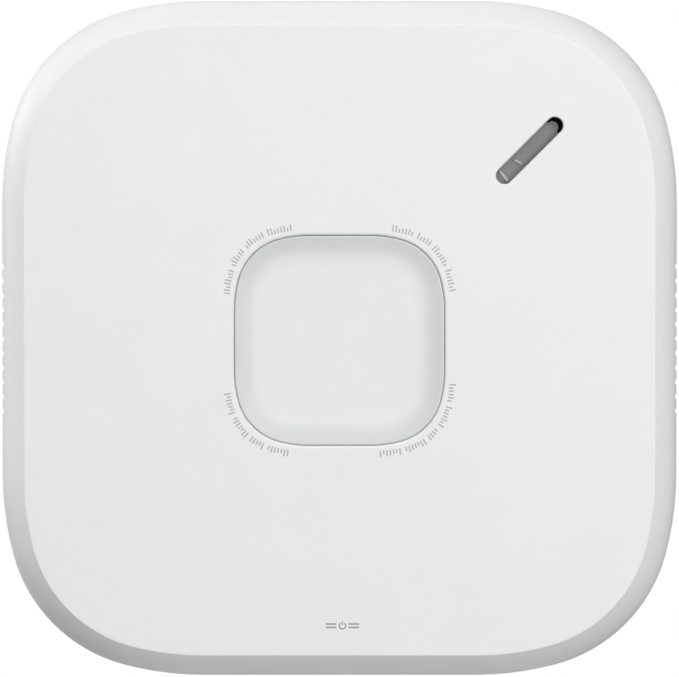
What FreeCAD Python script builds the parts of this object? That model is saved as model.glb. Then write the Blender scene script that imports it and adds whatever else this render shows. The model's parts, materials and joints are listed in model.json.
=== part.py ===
"""Square wall-mounted smoke alarm, built as separate solids in one parametric document.

Every piece is drawn face up in its own frame: X to the right, Y up the wall and Z from the wall
towards the room. STANDING turns that frame so that +Z is up and the front looks along -Y, with
the origin at the middle of the mounting plate's wall face.
"""
import FreeCAD, Part
import math
import os
import re
import Sketcher

V = FreeCAD.Vector
STANDING = FreeCAD.Placement(V(0, 0, 0), FreeCAD.Rotation(V(1, 0, 0), 90))

# Driving dimensions, in millimetres and degrees. A word on the left names a cell of the sheet.
SIZES = {
    # front cover
    "cover_half": 70.0, "cover_corner": 32.3, "cover_back": 13.0, "cover_front": 40.0,
    "cover_wall": 2.2, "band_radius": 14.6, "band_start": 29.0, "face_edge": 0.35,
    "face_pocket_half": 65.0, "face_pocket_corner": 27.3, "face_pocket_start": 30.0,
    "rim_edge": 0.5, "lip_chamfer": 0.4,
    "aperture_half": 21.8, "aperture_corner": 12.35, "collar_wall": 1.6, "collar_back": 34.0,
    "grip_count": 11, "grip_pitch": 3.0, "grip_width": 1.2, "grip_depth": 0.45,
    "grip_back": 18.0, "grip_front": 34.0,
    # horn slot in the cover
    "horn_x": 39.15, "horn_y": 39.15, "slot_length": 18.1, "slot_width": 3.5, "slot_chamfer": 0.3,
    # test button
    "button_half": 21.45, "button_corner": 12.0, "button_front": 39.7, "dish_land": 0.3,
    "dish_slope": 6.2, "dish_depth": 1.0, "dish_fillet": 9.0, "button_wall": 1.6,
    "button_back": 32.2, "skirt_wall": 2.0, "flange_half": 23.4, "flange_corner": 13.95,
    "flange_height": 1.6,
    # springs and switches under the button
    "spring_at": 17.6, "spring_radius": 1.5, "spring_wire": 0.4,
    "switch_at": 21.6, "switch_width": 4.2, "switch_length": 6.0, "switch_height": 3.5,
    "plunger_radius": 0.9, "plunger_gap": 0.06, "plunger_back": 29.4, "plunger_room": 1.2,
    # light guide and baffle
    "baffle_half": 18.0, "baffle_corner": 9.0, "baffle_wall": 1.2, "baffle_front": 31.5,
    "guide_half": 17.6, "guide_height": 1.4, "guide_edge": 0.3,
    # printed circuit board
    "board_half": 61.0, "board_corner": 24.0, "board_back": 25.4, "board_front": 27.0,
    "post_x": 20.0, "post_y": 50.0, "post_radius": 3.2, "post_bore": 1.25,
    "board_screw_head": 2.6, "board_screw_height": 1.7, "board_screw_tip": 18.0,
    # screws and bosses that join cover and rear housing
    "boss_x": 54.0, "boss_y": 22.0, "boss_radius": 3.4, "boss_bore": 1.45, "well_radius": 4.7,
    "well_bore": 3.3, "well_seat": 10.6, "screw_clear": 1.75, "screw_head": 2.9,
    "screw_head_height": 2.0, "screw_shank": 1.4, "screw_tip": 24.0, "drive_depth": 0.8,
    # rear housing
    "rear_back": 3.8, "rear_plate": 1.8, "neck_half": 64.5, "neck_corner": 26.8,
    "neck_wall": 1.8, "neck_front": 13.2, "rim_half": 67.4, "rim_corner": 29.7,
    "rim_front": 15.2, "vent_count": 13, "vent_pitch": 5.4, "vent_width": 2.6,
    "vent_back": 6.8, "vent_front": 12.2, "neck_edge": 0.8,
    "inlet_count": 5, "inlet_pitch": 4.6, "inlet_ring": 69.0, "inlet_length": 8.0,
    "inlet_width": 2.0,
    # battery bay and its door
    "bay_half_x": 23.5, "bay_half_y": 29.5, "bay_wall": 1.5, "bay_roof": 21.5,
    "door_gap": 0.3, "hinge_pin": 0.7, "pin_gap": 0.05, "pin_length": 1.2,
    "notch_width": 16.0, "notch_depth": 3.4, "tread_count": 4, "tread_inset": 4.0,
    "tread_pitch": 2.2, "tread_width": 1.0, "tread_depth": 0.4,
    "pad_half_x": 18.0, "pad_half_y": 19.0, "pad_height": 0.8,
    "label_half_x": 17.0, "label_half_y": 11.0, "label_height": 0.12,
    # AA cells and their contacts
    "cell_radius": 7.25, "cell_length": 49.2, "cell_level": 14.0, "cell_pitch": 15.0,
    "nub_radius": 2.7, "nub_length": 1.3, "contact_size": 12.0, "contact_sheet": 0.4,
    "coil_radius": 3.6, "coil_wire": 0.8,
    # mounting plate
    "plate_radius": 59.0, "plate_opening": 40.0, "plate_web": 1.6, "rim_width": 1.5,
    "plate_front": 3.4, "lip_drop": 0.5, "plate_edge": 0.4, "land_back": 1.8,
    "land_inner": 44.0, "land_outer": 56.6, "land_start": 36.0, "land_end": 70.0,
    "land_wall": 1.3, "stud_ring": 50.0,
    "stud_angle": 45.0, "twist": 15.0, "keyhole_half": 2.5, "entry_radius": 4.4,
    "stud_stem": 2.2, "stud_head": 4.0, "stud_back": 0.4, "stud_head_front": 1.5,
    "wall_hole_at": 44.45, "wall_hole_length": 6.0, "wall_hole_width": 4.2,
    # horn
    "horn_radius": 15.0, "horn_wall": 1.2, "horn_back": 28.2, "horn_front": 36.8,
    "duct_at": 6.75, "duct_inner": 1.25, "duct_outer": 2.33, "ledge_radius": 12.7,
    "horn_leg_at": 14.3, "horn_leg": 0.65, "brass_radius": 13.6, "brass_back": 31.0, "brass_sheet": 0.3,
    "ceramic_radius": 9.5, "ceramic_sheet": 0.25,
    "gasket_length": 25.0, "gasket_width": 10.3, "gasket_inner_length": 19.4,
    "gasket_inner_width": 4.7, "contact_ring": 5.5, "contact_radius": 0.9,
    "rib_at": 3.3, "rib_width": 0.5, "rib_length": 1.9, "rib_height": 0.3,
    # smoke chamber, on the back of the board
    "chamber_x": -44.5, "chamber_y": 0.0, "chamber_radius": 17.5, "seal_height": 0.6,
    "chamber_base": 1.6, "chamber_cap_back": 10.4, "chamber_cap_front": 12.0,
    "vane_count": 20, "vane_inner": 12.2, "vane_outer": 16.7, "vane_width": 0.9,
    "screen_sheet": 0.3, "optic_x": 6.5, "optic_y": 5.5, "optic_level": 17.6, "optic_radius": 1.6,
    "optic_length": 5.0,
    # carbon monoxide cell, on the back of the board
    "co_x": 42.0, "co_y": 0.0, "co_radius": 10.0, "co_front": 23.4, "co_back": 8.4,
    "co_cap_radius": 7.0, "co_cap_height": 1.0, "co_hole": 0.8, "co_hole_ring": 3.4,
    "co_pin": 0.55, "co_pin_at": 5.5,
    # parts on the board
    "led_ring": 9.5, "led_side": 3.2, "led_height": 1.8, "power_x": 0.6, "power_y": -58.9,
    "power_led_y": -57.6, "pipe_length": 7.0, "pipe_width": 2.0, "pipe_skin": 1.0,
    "pipe_gap": 0.25, "power_led_height": 1.1,
    "chip_x": -36.0, "chip_y": -36.0, "chip_side": 10.0, "chip_height": 1.6,
    "radio_x": 36.0, "radio_y": -40.0, "radio_width": 19.0, "radio_length": 26.0,
    "radio_board": 1.0, "radio_lift": 0.8, "shield_width": 14.0, "shield_length": 15.0,
    "shield_height": 2.2, "shield_y": -37.0,
    "can_radius": 4.0, "can_height": 8.6, "can_edge": 0.4, "coil_side": 6.2, "coil_height": 3.2,
    "transformer_x": 4.0, "transformer_y": 40.0, "transformer_radius": 5.2,
    "transformer_height": 8.4, "logic_width": 4.0, "logic_length": 5.2, "logic_height": 1.5,
    "small_width": 1.3, "small_length": 2.1, "small_height": 0.9,
    "bead_x": -20.0, "bead_y": 57.5, "bead_radius": 1.3, "bead_back": 17.0, "lead_radius": 0.3,
}

DOOR_AXIS_Y = "-(bay_half_y - door_gap - rear_plate / 2)"
DOOR_AXIS_Z = "rear_back + rear_plate / 2"
SCREW_DRIVE = "0.5"
LOGIC_PLACES = [("-20", "-44"), ("-46", "30"), ("14", "-36"), ("52", "-6"), ("-8", "34")]
INDUCTOR_PLACES = [("-50", "-36"), ("8", "-48")]
CAPACITOR_PLACES = [("-44", "42"), ("-34", "34"), ("34", "6")]

doc = FreeCAD.newDocument("smoke_alarm")
sheet = doc.addObject("Spreadsheet::Sheet", "dims")
for row, (word, size) in enumerate(SIZES.items(), start=1):
    sheet.set("A%d" % row, word)
    sheet.set("B%d" % row, str(size))
    sheet.setAlias("B%d" % row, word)
doc.recompute()


def bound(formula):
    """The formula with each of the sheet's words pointed at the sheet."""
    return re.sub(r"[a-z][a-z_0-9]*", lambda m: ("dims." if m.group() in SIZES else "") + m.group(),
                  str(formula))


KNOWN = {}


def number(formula):
    """What a formula of the sheet's words comes to, worked out once in a spare cell."""
    key = str(formula)
    if key not in KNOWN:
        sheet.set("D1", "=" + key)
        sheet.recompute()
        KNOWN[key] = float(sheet.get("D1"))
    return KNOWN[key]


def fix(sketch, kind, *where):
    """Add a constraint whose last argument is a formula, and bind it to the sheet."""
    formula = where[-1]
    scale = math.pi / 180 if kind == "Angle" else 1.0
    index = sketch.addConstraint(Sketcher.Constraint(kind, *where[:-1], number(formula) * scale))
    sketch.setExpression("Constraints[%d]" % index, bound(formula))


def fix_point(sketch, geometry, point, x, y):
    """Hold one point of a sketch at formulas x and y."""
    fix(sketch, "DistanceX", -1, 1, geometry, point, x)
    fix(sketch, "DistanceY", -1, 1, geometry, point, y)


def circle(sketch, x, y, radius):
    shape = Part.Circle(V(number(x), number(y), 0), V(0, 0, 1), number(radius))
    index = sketch.addGeometry(shape, False)
    fix(sketch, "Radius", index, radius)
    fix_point(sketch, index, 3, x, y)


def polygon(sketch, points):
    """A closed outline through corners given as pairs of formulas."""
    corners = [V(number(x), number(y), 0) for x, y in points]
    count = len(corners)
    lines = [Part.LineSegment(corners[i], corners[(i + 1) % count]) for i in range(count)]
    index = sketch.addGeometry(lines, False)
    for i in range(count):
        joined = Sketcher.Constraint("Coincident", index[i], 2, index[(i + 1) % count], 1)
        sketch.addConstraint(joined)
    for i, (x, y) in enumerate(points):
        fix_point(sketch, index[i], 1, x, y)


def rectangle(sketch, x, y, width, length):
    """A rectangle about its middle."""
    left, right = "(%s) - (%s) / 2" % (x, width), "(%s) + (%s) / 2" % (x, width)
    low, high = "(%s) - (%s) / 2" % (y, length), "(%s) + (%s) / 2" % (y, length)
    polygon(sketch, [(left, low), (right, low), (right, high), (left, high)])


def stadium(sketch, x, y, length, width, angle="0"):
    """A slot with round ends, about its middle, turned by an angle in degrees."""
    reach = "((%s) - (%s)) / 2" % (length, width)
    turn = math.radians(number(angle))
    along = V(math.cos(turn), math.sin(turn), 0) * number(reach)
    middle = V(number(x), number(y), 0)
    side = V(-math.sin(turn), math.cos(turn), 0) * (number(width) / 2)
    radius = number(width) / 2
    right = Part.Circle(middle + along, V(0, 0, 1), radius)
    left = Part.Circle(middle - along, V(0, 0, 1), radius)
    index = sketch.addGeometry([
        Part.LineSegment(middle - along - side, middle + along - side),
        Part.ArcOfCircle(right, turn - math.pi / 2, turn + math.pi / 2),
        Part.LineSegment(middle + along + side, middle - along + side),
        Part.ArcOfCircle(left, turn + math.pi / 2, turn + math.pi * 3 / 2),
    ], False)
    for i in range(4):
        sketch.addConstraint(Sketcher.Constraint("Tangent", index[i], 2, index[(i + 1) % 4], 1))
    sketch.addConstraint(Sketcher.Constraint("Equal", index[1], index[3]))
    fix(sketch, "Radius", index[1], "(%s) / 2" % width)
    shift_x, shift_y = "(%s) * cos(%s)" % (reach, angle), "(%s) * sin(%s)" % (reach, angle)
    fix_point(sketch, index[1], 3, "(%s) + %s" % (x, shift_x), "(%s) + %s" % (y, shift_y))
    fix_point(sketch, index[3], 3, "(%s) - %s" % (x, shift_x), "(%s) - %s" % (y, shift_y))


def sector(sketch, inner, outer, start, end):
    """A piece of a ring about the sketch's origin, between two angles in degrees."""
    low, high = math.radians(number(start)), math.radians(number(end))
    near, far = number(inner), number(outer)
    first, last = V(math.cos(low), math.sin(low), 0), V(math.cos(high), math.sin(high), 0)
    index = sketch.addGeometry([
        Part.LineSegment(first * near, first * far),
        Part.ArcOfCircle(Part.Circle(V(0, 0, 0), V(0, 0, 1), far), low, high),
        Part.LineSegment(last * far, last * near),
        Part.ArcOfCircle(Part.Circle(V(0, 0, 0), V(0, 0, 1), near), low, high),
    ], False)
    for line, point, arc, end_point in ((0, 2, 1, 1), (1, 2, 2, 1), (2, 2, 3, 2), (3, 1, 0, 1)):
        joined = Sketcher.Constraint("Coincident", index[line], point, index[arc], end_point)
        sketch.addConstraint(joined)
    for arc, radius in ((1, outer), (3, inner)):
        sketch.addConstraint(Sketcher.Constraint("Coincident", index[arc], 3, -1, 1))
        fix(sketch, "Radius", index[arc], radius)
    for line, point, radius, angle in ((0, 1, inner, start), (0, 2, outer, start),
                                       (2, 2, inner, end), (2, 1, outer, end)):
        fix(sketch, "DistanceX", -1, 1, index[line], point, "(%s) * cos(%s)" % (radius, angle))


LEAD_TURN = math.radians(15)


def soft_square(sketch, half, corner):
    """A square whose corners turn 15, 60 and 15 degrees on arcs of two, one and two radii."""
    side, tight = number(half), number(corner)
    wide = 2 * tight
    extent = wide - tight * (math.cos(LEAD_TURN) - math.sin(LEAD_TURN))
    middle = side - wide + tight * math.cos(LEAD_TURN)
    quarter = math.pi / 2
    lead_end = quarter - LEAD_TURN
    shapes = []
    for turn in (0, quarter, 2 * quarter, 3 * quarter):
        quarter_turn = FreeCAD.Rotation(V(0, 0, 1), math.degrees(turn))
        low, high = V(side, extent - side, 0), V(side, side - extent, 0)
        shapes.append(Part.LineSegment(quarter_turn.multVec(low), quarter_turn.multVec(high)))
        for centre, radius, start, end in (
                (V(side - wide, side - extent, 0), wide, 0, LEAD_TURN),
                (V(middle, middle, 0), tight, LEAD_TURN, lead_end),
                (V(side - extent, side - wide, 0), wide, lead_end, quarter)):
            whole = Part.Circle(quarter_turn.multVec(centre), V(0, 0, 1), radius)
            shapes.append(Part.ArcOfCircle(whole, turn + start, turn + end))
    index = sketch.addGeometry(shapes, False)
    for i in range(16):
        sketch.addConstraint(Sketcher.Constraint("Tangent", index[i], 2, index[(i + 1) % 16], 1))
    for i, direction in ((0, "Vertical"), (4, "Horizontal"), (8, "Vertical"), (12, "Horizontal")):
        sketch.addConstraint(Sketcher.Constraint(direction, index[i]))
    leads = [index[i] for i in range(16) if i % 4 in (1, 3)]
    mains = [index[i] for i in range(16) if i % 4 == 2]
    for same in (leads, mains):
        for other in same[1:]:
            sketch.addConstraint(Sketcher.Constraint("Equal", same[0], other))
    for lead in leads:
        sketch.addConstraint(Sketcher.Constraint("Angle", lead, LEAD_TURN))
    fix(sketch, "Radius", leads[0], "2 * (%s)" % corner)
    fix(sketch, "Radius", mains[0], corner)
    fix(sketch, "DistanceX", -1, 1, index[0], 1, half)
    fix(sketch, "DistanceY", -1, 1, index[4], 1, half)
    fix(sketch, "DistanceX", index[8], 1, -1, 1, half)
    fix(sketch, "DistanceY", index[12], 1, -1, 1, half)


class Piece:
    """One sub-part: a body in the standing pose, with short names for its features."""
    made = []

    def __init__(self, label):
        self.label = label
        self.body = doc.addObject("PartDesign::Body", label)
        self.body.Label = label
        self.body.Placement = STANDING
        self.last = None
        Piece.made.append(self)

    def sketch(self, level="0", plane="XY_Plane", x="0", y="0"):
        """An empty sketch on an origin plane, lifted to a level and centred on x and y."""
        sketch = self.body.newObject("Sketcher::SketchObject", self.label + "_outline")
        origin = [f for f in self.body.Origin.OriginFeatures if f.Role == plane]
        sketch.AttachmentSupport = [(origin[0], "")]
        sketch.MapMode = "FlatFace"
        shift = (x, y, level) if plane == "XY_Plane" else (x, "0", "-(%s)" % y)
        for axis, formula in zip("xyz", shift):
            sketch.setExpression("AttachmentOffset.Base." + axis, bound(formula))
        return sketch

    def feature(self, kind, profile, **values):
        made = self.body.newObject("PartDesign::" + kind, self.label + "_" + kind.lower())
        made.Profile = profile
        for name, value in values.items():
            setattr(made, name, value)
        self.last = made
        return made

    def pad(self, draw, back, front):
        """Add the outline that draw makes, from one level up to another."""
        sketch = self.sketch(back)
        draw(sketch)
        made = self.feature("Pad", sketch)
        made.setExpression("Length", bound("(%s) - (%s)" % (front, back)))
        return made

    def cut(self, draw, back, front):
        """Remove the outline that draw makes, from one level up to another."""
        sketch = self.sketch(back)
        draw(sketch)
        made = self.feature("Pocket", sketch, Reversed=True)
        made.setExpression("Length", bound("(%s) - (%s)" % (front, back)))
        return made

    def turn(self, points, x="0", y="0"):
        """Add a turned shape about an upright axis through x and y: points are radius, level."""
        sketch = self.sketch(plane="XZ_Plane", x=x, y=y)
        polygon(sketch, points)
        return self.feature("Revolution", sketch, ReferenceAxis=(sketch, ["V_Axis"]), Angle=360)

    def around(self, features, count, sketch):
        """Repeat features evenly about the axis through a sketch's origin."""
        made = self.body.newObject("PartDesign::PolarPattern", self.label + "_pattern")
        made.Originals = features
        made.Axis = (sketch, ["N_Axis"])
        made.Angle = 360
        made.Occurrences = count
        self.body.Tip = made
        self.last = made
        return made

    def dress(self, kind, test, size, formula):
        """Round or chamfer the last feature's edges that pass a test."""
        doc.recompute()
        base = self.last
        chosen = ["Edge%d" % (i + 1) for i, edge in enumerate(base.Shape.Edges) if test(edge)]
        made = self.body.newObject("PartDesign::" + kind, self.label + "_" + kind.lower())
        made.Base = (base, chosen)
        made.setExpression(size, bound(formula))
        self.last = made
        return made

    def round(self, test, formula):
        return self.dress("Fillet", test, "Radius", formula)

    def bevel(self, test, formula):
        return self.dress("Chamfer", test, "Size", formula)


def level_edges(level, reach=None, beyond="0"):
    """A test for edges flat at a level that reach from the axis past one distance, not another."""
    height, least = number(level), number(beyond)
    most = number(reach) if reach else math.inf

    def test(edge):
        flat = all(abs(point.z - height) < 1e-4 for point in edge.discretize(3))
        far = max(max(abs(point.x), abs(point.y)) for point in edge.discretize(9))
        return flat and least < far < most
    return test


def four(draw, x, y):
    """Draw something at the four places that mirror x and y."""
    for side_x in ("", "-"):
        for side_y in ("", "-"):
            draw("%s(%s)" % (side_x, x), "%s(%s)" % (side_y, y))


def mounting_plate():
    piece = Piece("mounting_plate")
    lip = "plate_front - lip_drop"
    piece.turn([("plate_opening", "0"), ("plate_radius", "0"), ("plate_radius", "plate_front"),
                ("plate_radius - rim_width", "plate_front"),
                ("plate_radius - rim_width", "plate_web"),
                ("plate_opening + rim_width", "plate_web"),
                ("plate_opening + rim_width", lip), ("plate_opening", lip)])
    piece.round(level_edges("plate_front"), "plate_edge")
    piece.round(level_edges(lip), "plate_edge")

    def cut_to_land(draw, front):
        return piece.cut(draw, "0", front)

    land = piece.pad(lambda s: sector(s, "land_inner", "land_outer + 1.2", "land_start", "land_end"),
                     "plate_web - 0.5", "plate_front")
    room = cut_to_land(lambda s: sector(s, "land_inner + land_wall", "land_outer - land_wall",
                                        "land_start + 2", "land_end - 2"), "land_back")
    slot = cut_to_land(lambda s: sector(s, "stud_ring - keyhole_half", "stud_ring + keyhole_half",
                                        "stud_angle", "stud_angle + twist"), "plate_front")
    rounds = []
    for angle, radius in (("stud_angle", "keyhole_half"), ("stud_angle + twist", "entry_radius")):
        x, y = "stud_ring * cos(%s)" % angle, "stud_ring * sin(%s)" % angle
        rounds.append(cut_to_land(lambda s: circle(s, x, y, radius), "plate_front"))
    piece.around([land, room, slot] + rounds, 4, land.Profile[0])

    def wall_holes(sketch):
        for side in ("", "-"):
            place = side + "wall_hole_at"
            stadium(sketch, place, "0", "wall_hole_length", "wall_hole_width")
            stadium(sketch, "0", place, "wall_hole_length", "wall_hole_width", "90")
    cut_to_land(wall_holes, "plate_web")


def rear_housing():
    piece = Piece("rear_housing")
    piece.pad(lambda s: soft_square(s, "neck_half", "neck_corner"), "rear_back", "neck_front")
    piece.round(level_edges("rear_back"), "neck_edge")
    piece.pad(lambda s: soft_square(s, "rim_half", "rim_corner"), "neck_front", "rim_front")
    inside = "rear_back + rear_plate"
    piece.cut(lambda s: soft_square(s, "neck_half - neck_wall", "neck_corner - neck_wall"),
              inside, "rim_front")
    wide, tall = "2 * (bay_half_x + bay_wall)", "2 * (bay_half_y + bay_wall)"
    piece.pad(lambda s: rectangle(s, "0", "0", wide, tall), "rear_back", "bay_roof + bay_wall")
    piece.cut(lambda s: rectangle(s, "0", "0", "2 * bay_half_x", "2 * bay_half_y"),
              "rear_back", "bay_roof")

    def discs_at(x, y, radius):
        return lambda s: four(lambda a, b: circle(s, a, b, radius), x, y)
    piece.pad(discs_at("post_x", "post_y", "post_radius"), inside, "board_back")
    piece.cut(discs_at("post_x", "post_y", "post_bore"), "board_screw_tip - 1", "board_back")
    piece.pad(discs_at("boss_x", "boss_y", "well_radius"), "rear_back", "cover_back")
    piece.cut(discs_at("boss_x", "boss_y", "well_bore"), "rear_back", "well_seat")
    piece.cut(discs_at("boss_x", "boss_y", "screw_clear"), "well_seat", "cover_back")
    stud_x, stud_y = "stud_ring * cos(stud_angle)", "stud_ring * sin(stud_angle)"
    piece.pad(discs_at(stud_x, stud_y, "stud_stem"), "stud_back", "rear_back")
    piece.pad(discs_at(stud_x, stud_y, "stud_head"), "stud_back", "stud_head_front")

    def vents(sketch):
        for place in range(SIZES["vent_count"]):
            along = "(%d) * vent_pitch" % (place - SIZES["vent_count"] // 2)
            rectangle(sketch, along, "neck_half - neck_wall / 2", "vent_width", "neck_wall + 1")

    def corner_inlets(sketch):
        for place in range(SIZES["inlet_count"]):
            along = "(%d) * inlet_pitch" % (place - SIZES["inlet_count"] // 2)
            x = "inlet_ring * cos(45) - %s * sin(45)" % along
            y = "inlet_ring * sin(45) + %s * cos(45)" % along
            stadium(sketch, x, y, "inlet_length", "inlet_width", "45")
    slots = piece.cut(vents, "vent_back", "vent_front")
    inlets = piece.cut(corner_inlets, "rear_back", inside)
    piece.around([slots, inlets], 4, slots.Profile[0])

    pins = piece.sketch(plane="YZ_Plane")
    circle(pins, DOOR_AXIS_Y, DOOR_AXIS_Z, "hinge_pin + pin_gap")
    bore = piece.feature("Pocket", pins, Midplane=True)
    bore.setExpression("Length", bound("2 * (bay_half_x - door_gap + pin_length + 0.2)"))
    piece.cut(lambda s: stadium(s, "0", "bay_half_y", "notch_width", "2 * notch_depth"),
              "rear_back", DOOR_AXIS_Z)


def screws(label, x, y, head, shank, head_span, shank_span, drive_face):
    """Four pan-head screws with a cross recess, in one node; spans are pairs of levels."""
    piece = Piece(label)
    piece.pad(lambda s: four(lambda a, b: circle(s, a, b, head), x, y), *head_span)
    piece.pad(lambda s: four(lambda a, b: circle(s, a, b, shank), x, y), *shank_span)
    arm = "(%s) * 1.2" % head
    for width, length in ((SCREW_DRIVE, arm), (arm, SCREW_DRIVE)):
        cross = piece.sketch(drive_face)
        four(lambda a, b: rectangle(cross, a, b, width, length), x, y)
        recess = piece.feature("Pocket", cross, Midplane=True)
        recess.setExpression("Length", bound("2 * drive_depth"))


def front_cover():
    piece = Piece("front_cover")
    band_top, ceiling = "band_start + band_radius", "cover_front - cover_wall"
    piece.pad(lambda s: soft_square(s, "cover_half", "cover_corner"), "cover_back", band_top)
    piece.round(level_edges(band_top), "band_radius")
    piece.cut(lambda s: rectangle(s, "0", "0", "3 * cover_half", "3 * cover_half"),
              "cover_front", band_top + " + 1")
    piece.round(level_edges("cover_front"), "face_edge")
    piece.round(level_edges("cover_back"), "rim_edge")
    piece.cut(lambda s: soft_square(s, "cover_half - cover_wall", "cover_corner - cover_wall"),
              "cover_back", "face_pocket_start")
    piece.cut(lambda s: soft_square(s, "face_pocket_half", "face_pocket_corner"),
              "face_pocket_start", ceiling)
    piece.pad(lambda s: soft_square(s, "aperture_half + collar_wall",
                                    "aperture_corner + collar_wall"), "collar_back", ceiling)
    piece.cut(lambda s: soft_square(s, "aperture_half", "aperture_corner"),
              "collar_back", "cover_front")
    piece.bevel(level_edges("cover_front", "aperture_half + 1"), "lip_chamfer")
    piece.pad(lambda s: four(lambda x, y: circle(s, x, y, "boss_radius"), "boss_x", "boss_y"),
              "cover_back", ceiling)
    piece.cut(lambda s: four(lambda x, y: circle(s, x, y, "boss_bore"), "boss_x", "boss_y"),
              "cover_back", "screw_tip + 1")
    piece.cut(lambda s: stadium(s, "horn_x", "horn_y", "slot_length", "slot_width", "45"),
              ceiling, "cover_front")
    piece.bevel(level_edges("cover_front", "horn_x + slot_length / 2", "aperture_half + 2"),
                "slot_chamfer")
    room_x, room_y = "pipe_length + 2 * pipe_gap", "pipe_width + 2 * pipe_gap"
    piece.cut(lambda s: stadium(s, "power_x", "power_y", room_x, room_y),
              ceiling, "cover_front - pipe_skin")

    def grips(sketch):
        for place in range(SIZES["grip_count"]):
            along = "(%d) * grip_pitch" % (place - SIZES["grip_count"] // 2)
            for side in ("", "-"):
                middle = side + "(cover_half + 1 - grip_depth)"
                rectangle(sketch, middle, along, "2", "grip_width")
    piece.cut(grips, "grip_back", "grip_front")


def test_button():
    piece = Piece("test_button")
    flange_front = "button_back + flange_height"
    piece.pad(lambda s: soft_square(s, "flange_half", "flange_corner"), "button_back", flange_front)
    piece.pad(lambda s: soft_square(s, "button_half", "button_corner"), flange_front, "button_front")
    floor_level = "button_front - dish_depth"
    rim = piece.sketch("button_front")
    soft_square(rim, "button_half - dish_land", "button_corner - dish_land")
    floor = piece.sketch(floor_level)
    inset = "dish_land - dish_slope"
    soft_square(floor, "button_half - " + inset, "button_corner - " + inset)
    piece.feature("SubtractiveLoft", rim, Sections=[floor], Ruled=True)
    piece.round(level_edges(floor_level), "dish_fillet")
    piece.cut(lambda s: soft_square(s, "button_half - skirt_wall", "button_corner - skirt_wall"),
              "button_back", floor_level + " - button_wall")


def button_parts():
    baffle = Piece("button_light_baffle")
    baffle.pad(lambda s: soft_square(s, "baffle_half", "baffle_corner"),
               "board_front", "baffle_front")
    baffle.cut(lambda s: soft_square(s, "baffle_half - baffle_wall", "baffle_corner - baffle_wall"),
               "board_front", "baffle_front")
    guide = Piece("button_light_guide")
    guide.pad(lambda s: soft_square(s, "guide_half", "baffle_corner"),
              "baffle_front", "baffle_front + guide_height")
    guide.round(level_edges("baffle_front + guide_height"), "guide_edge")

    def at_springs(radius):
        return lambda s: four(lambda x, y: circle(s, x, y, radius), "spring_at", "spring_at")
    springs = Piece("button_springs")
    springs.pad(at_springs("spring_radius"), "board_front", "button_back")
    springs.cut(at_springs("spring_radius - spring_wire"), "board_front", "button_back")

    def both(draw):
        for side in ("", "-"):
            draw(side + "switch_at")
    switch_front = "board_front + switch_height"
    bodies = Piece("dome_switch_bodies")
    bodies.pad(lambda s: both(lambda x: rectangle(s, x, "0", "switch_width", "switch_length")),
               "board_front", switch_front)
    bodies.cut(lambda s: both(lambda x: circle(s, x, "0", "plunger_radius + plunger_gap")),
               "plunger_back - plunger_room", switch_front)
    plungers = Piece("dome_switch_plungers")
    plungers.pad(lambda s: both(lambda x: circle(s, x, "0", "plunger_radius")),
                 "plunger_back", "button_back")


def main_board():
    board = Piece("main_pcb")
    board.pad(lambda s: soft_square(s, "board_half", "board_corner"), "board_back", "board_front")
    for x, y, radius in (("boss_x", "boss_y", "boss_radius + 0.5"),
                         ("post_x", "post_y", "post_bore + 0.2")):
        board.cut(lambda s: four(lambda a, b: circle(s, a, b, radius), x, y),
                  "board_back", "board_front")
    head_front = "board_front + board_screw_height"
    screws("pcb_screws", "post_x", "post_y", "board_screw_head", "post_bore - 0.05",
           ("board_front", head_front), ("board_screw_tip", "board_front"), head_front)
    head_back = "well_seat - screw_head_height"
    screws("housing_screws", "boss_x", "boss_y", "screw_head", "screw_shank",
           (head_back, "well_seat"), ("well_seat", "screw_tip"), head_back)


def blocks(label, width, length, back, front, places):
    """Identical small blocks on the board, in one node."""
    piece = Piece(label)
    piece.pad(lambda s: [rectangle(s, x, y, width, length) for x, y in places], back, front)
    return piece


def discs(label, radius, back, front, places):
    """Identical round parts, in one node."""
    piece = Piece(label)
    piece.pad(lambda s: [circle(s, x, y, radius) for x, y in places], back, front)
    return piece


def circle_of(x, y, radius, angles):
    """Places round a centre, at angles in degrees."""
    return [("%s + %s * cos(%d)" % (x, radius, turn), "%s + %s * sin(%d)" % (y, radius, turn))
            for turn in angles]


def lights():
    blocks("ring_leds", "led_side", "led_side * 0.85", "board_front", "board_front + led_height",
           circle_of("0", "0", "led_ring", range(0, 360, 60)))
    led_front = "board_front + power_led_height"
    blocks("power_led", "led_side", "led_side * 0.6", "board_front", led_front,
           [("power_x", "power_led_y")])
    pipe = Piece("power_light_pipe")
    pipe.pad(lambda s: stadium(s, "power_x", "power_y", "pipe_length", "pipe_width"),
             led_front + " + 0.3", "cover_front - pipe_skin")


def board_chips():
    chip = blocks("microcontroller", "chip_side", "chip_side", "board_front + 0.15",
                  "board_front + chip_height", [("chip_x", "chip_y")])
    legs = [("chip_x + (%.1f)" % (step - 3.5), "chip_y") for step in range(8)]
    chip.pad(lambda s: [rectangle(s, x, y, "0.4", "chip_side + 2") for x, y in legs],
             "board_front", "board_front + 0.5")
    blocks("logic_chips", "logic_width", "logic_length", "board_front",
           "board_front + logic_height", LOGIC_PLACES)
    rows = [("%d" % (5 * column - 30), "%d" % (-30 - 4 * row)) for row in (0, 1) for column in range(6)]
    side = [("-52", "%d" % (4 * row - 8)) for row in range(5)]
    top = [("%d" % (4 * column - 26), "46") for column in range(3)]
    blocks("passives", "small_width", "small_length", "board_front",
           "board_front + small_height", rows + side + top)
    blocks("power_inductors", "coil_side", "coil_side", "board_front",
           "board_front + coil_height", INDUCTOR_PLACES)
    cans = discs("electrolytic_capacitors", "can_radius", "board_front",
                 "board_front + can_height", CAPACITOR_PLACES)
    cans.round(level_edges("board_front + can_height"), "can_edge")


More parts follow.
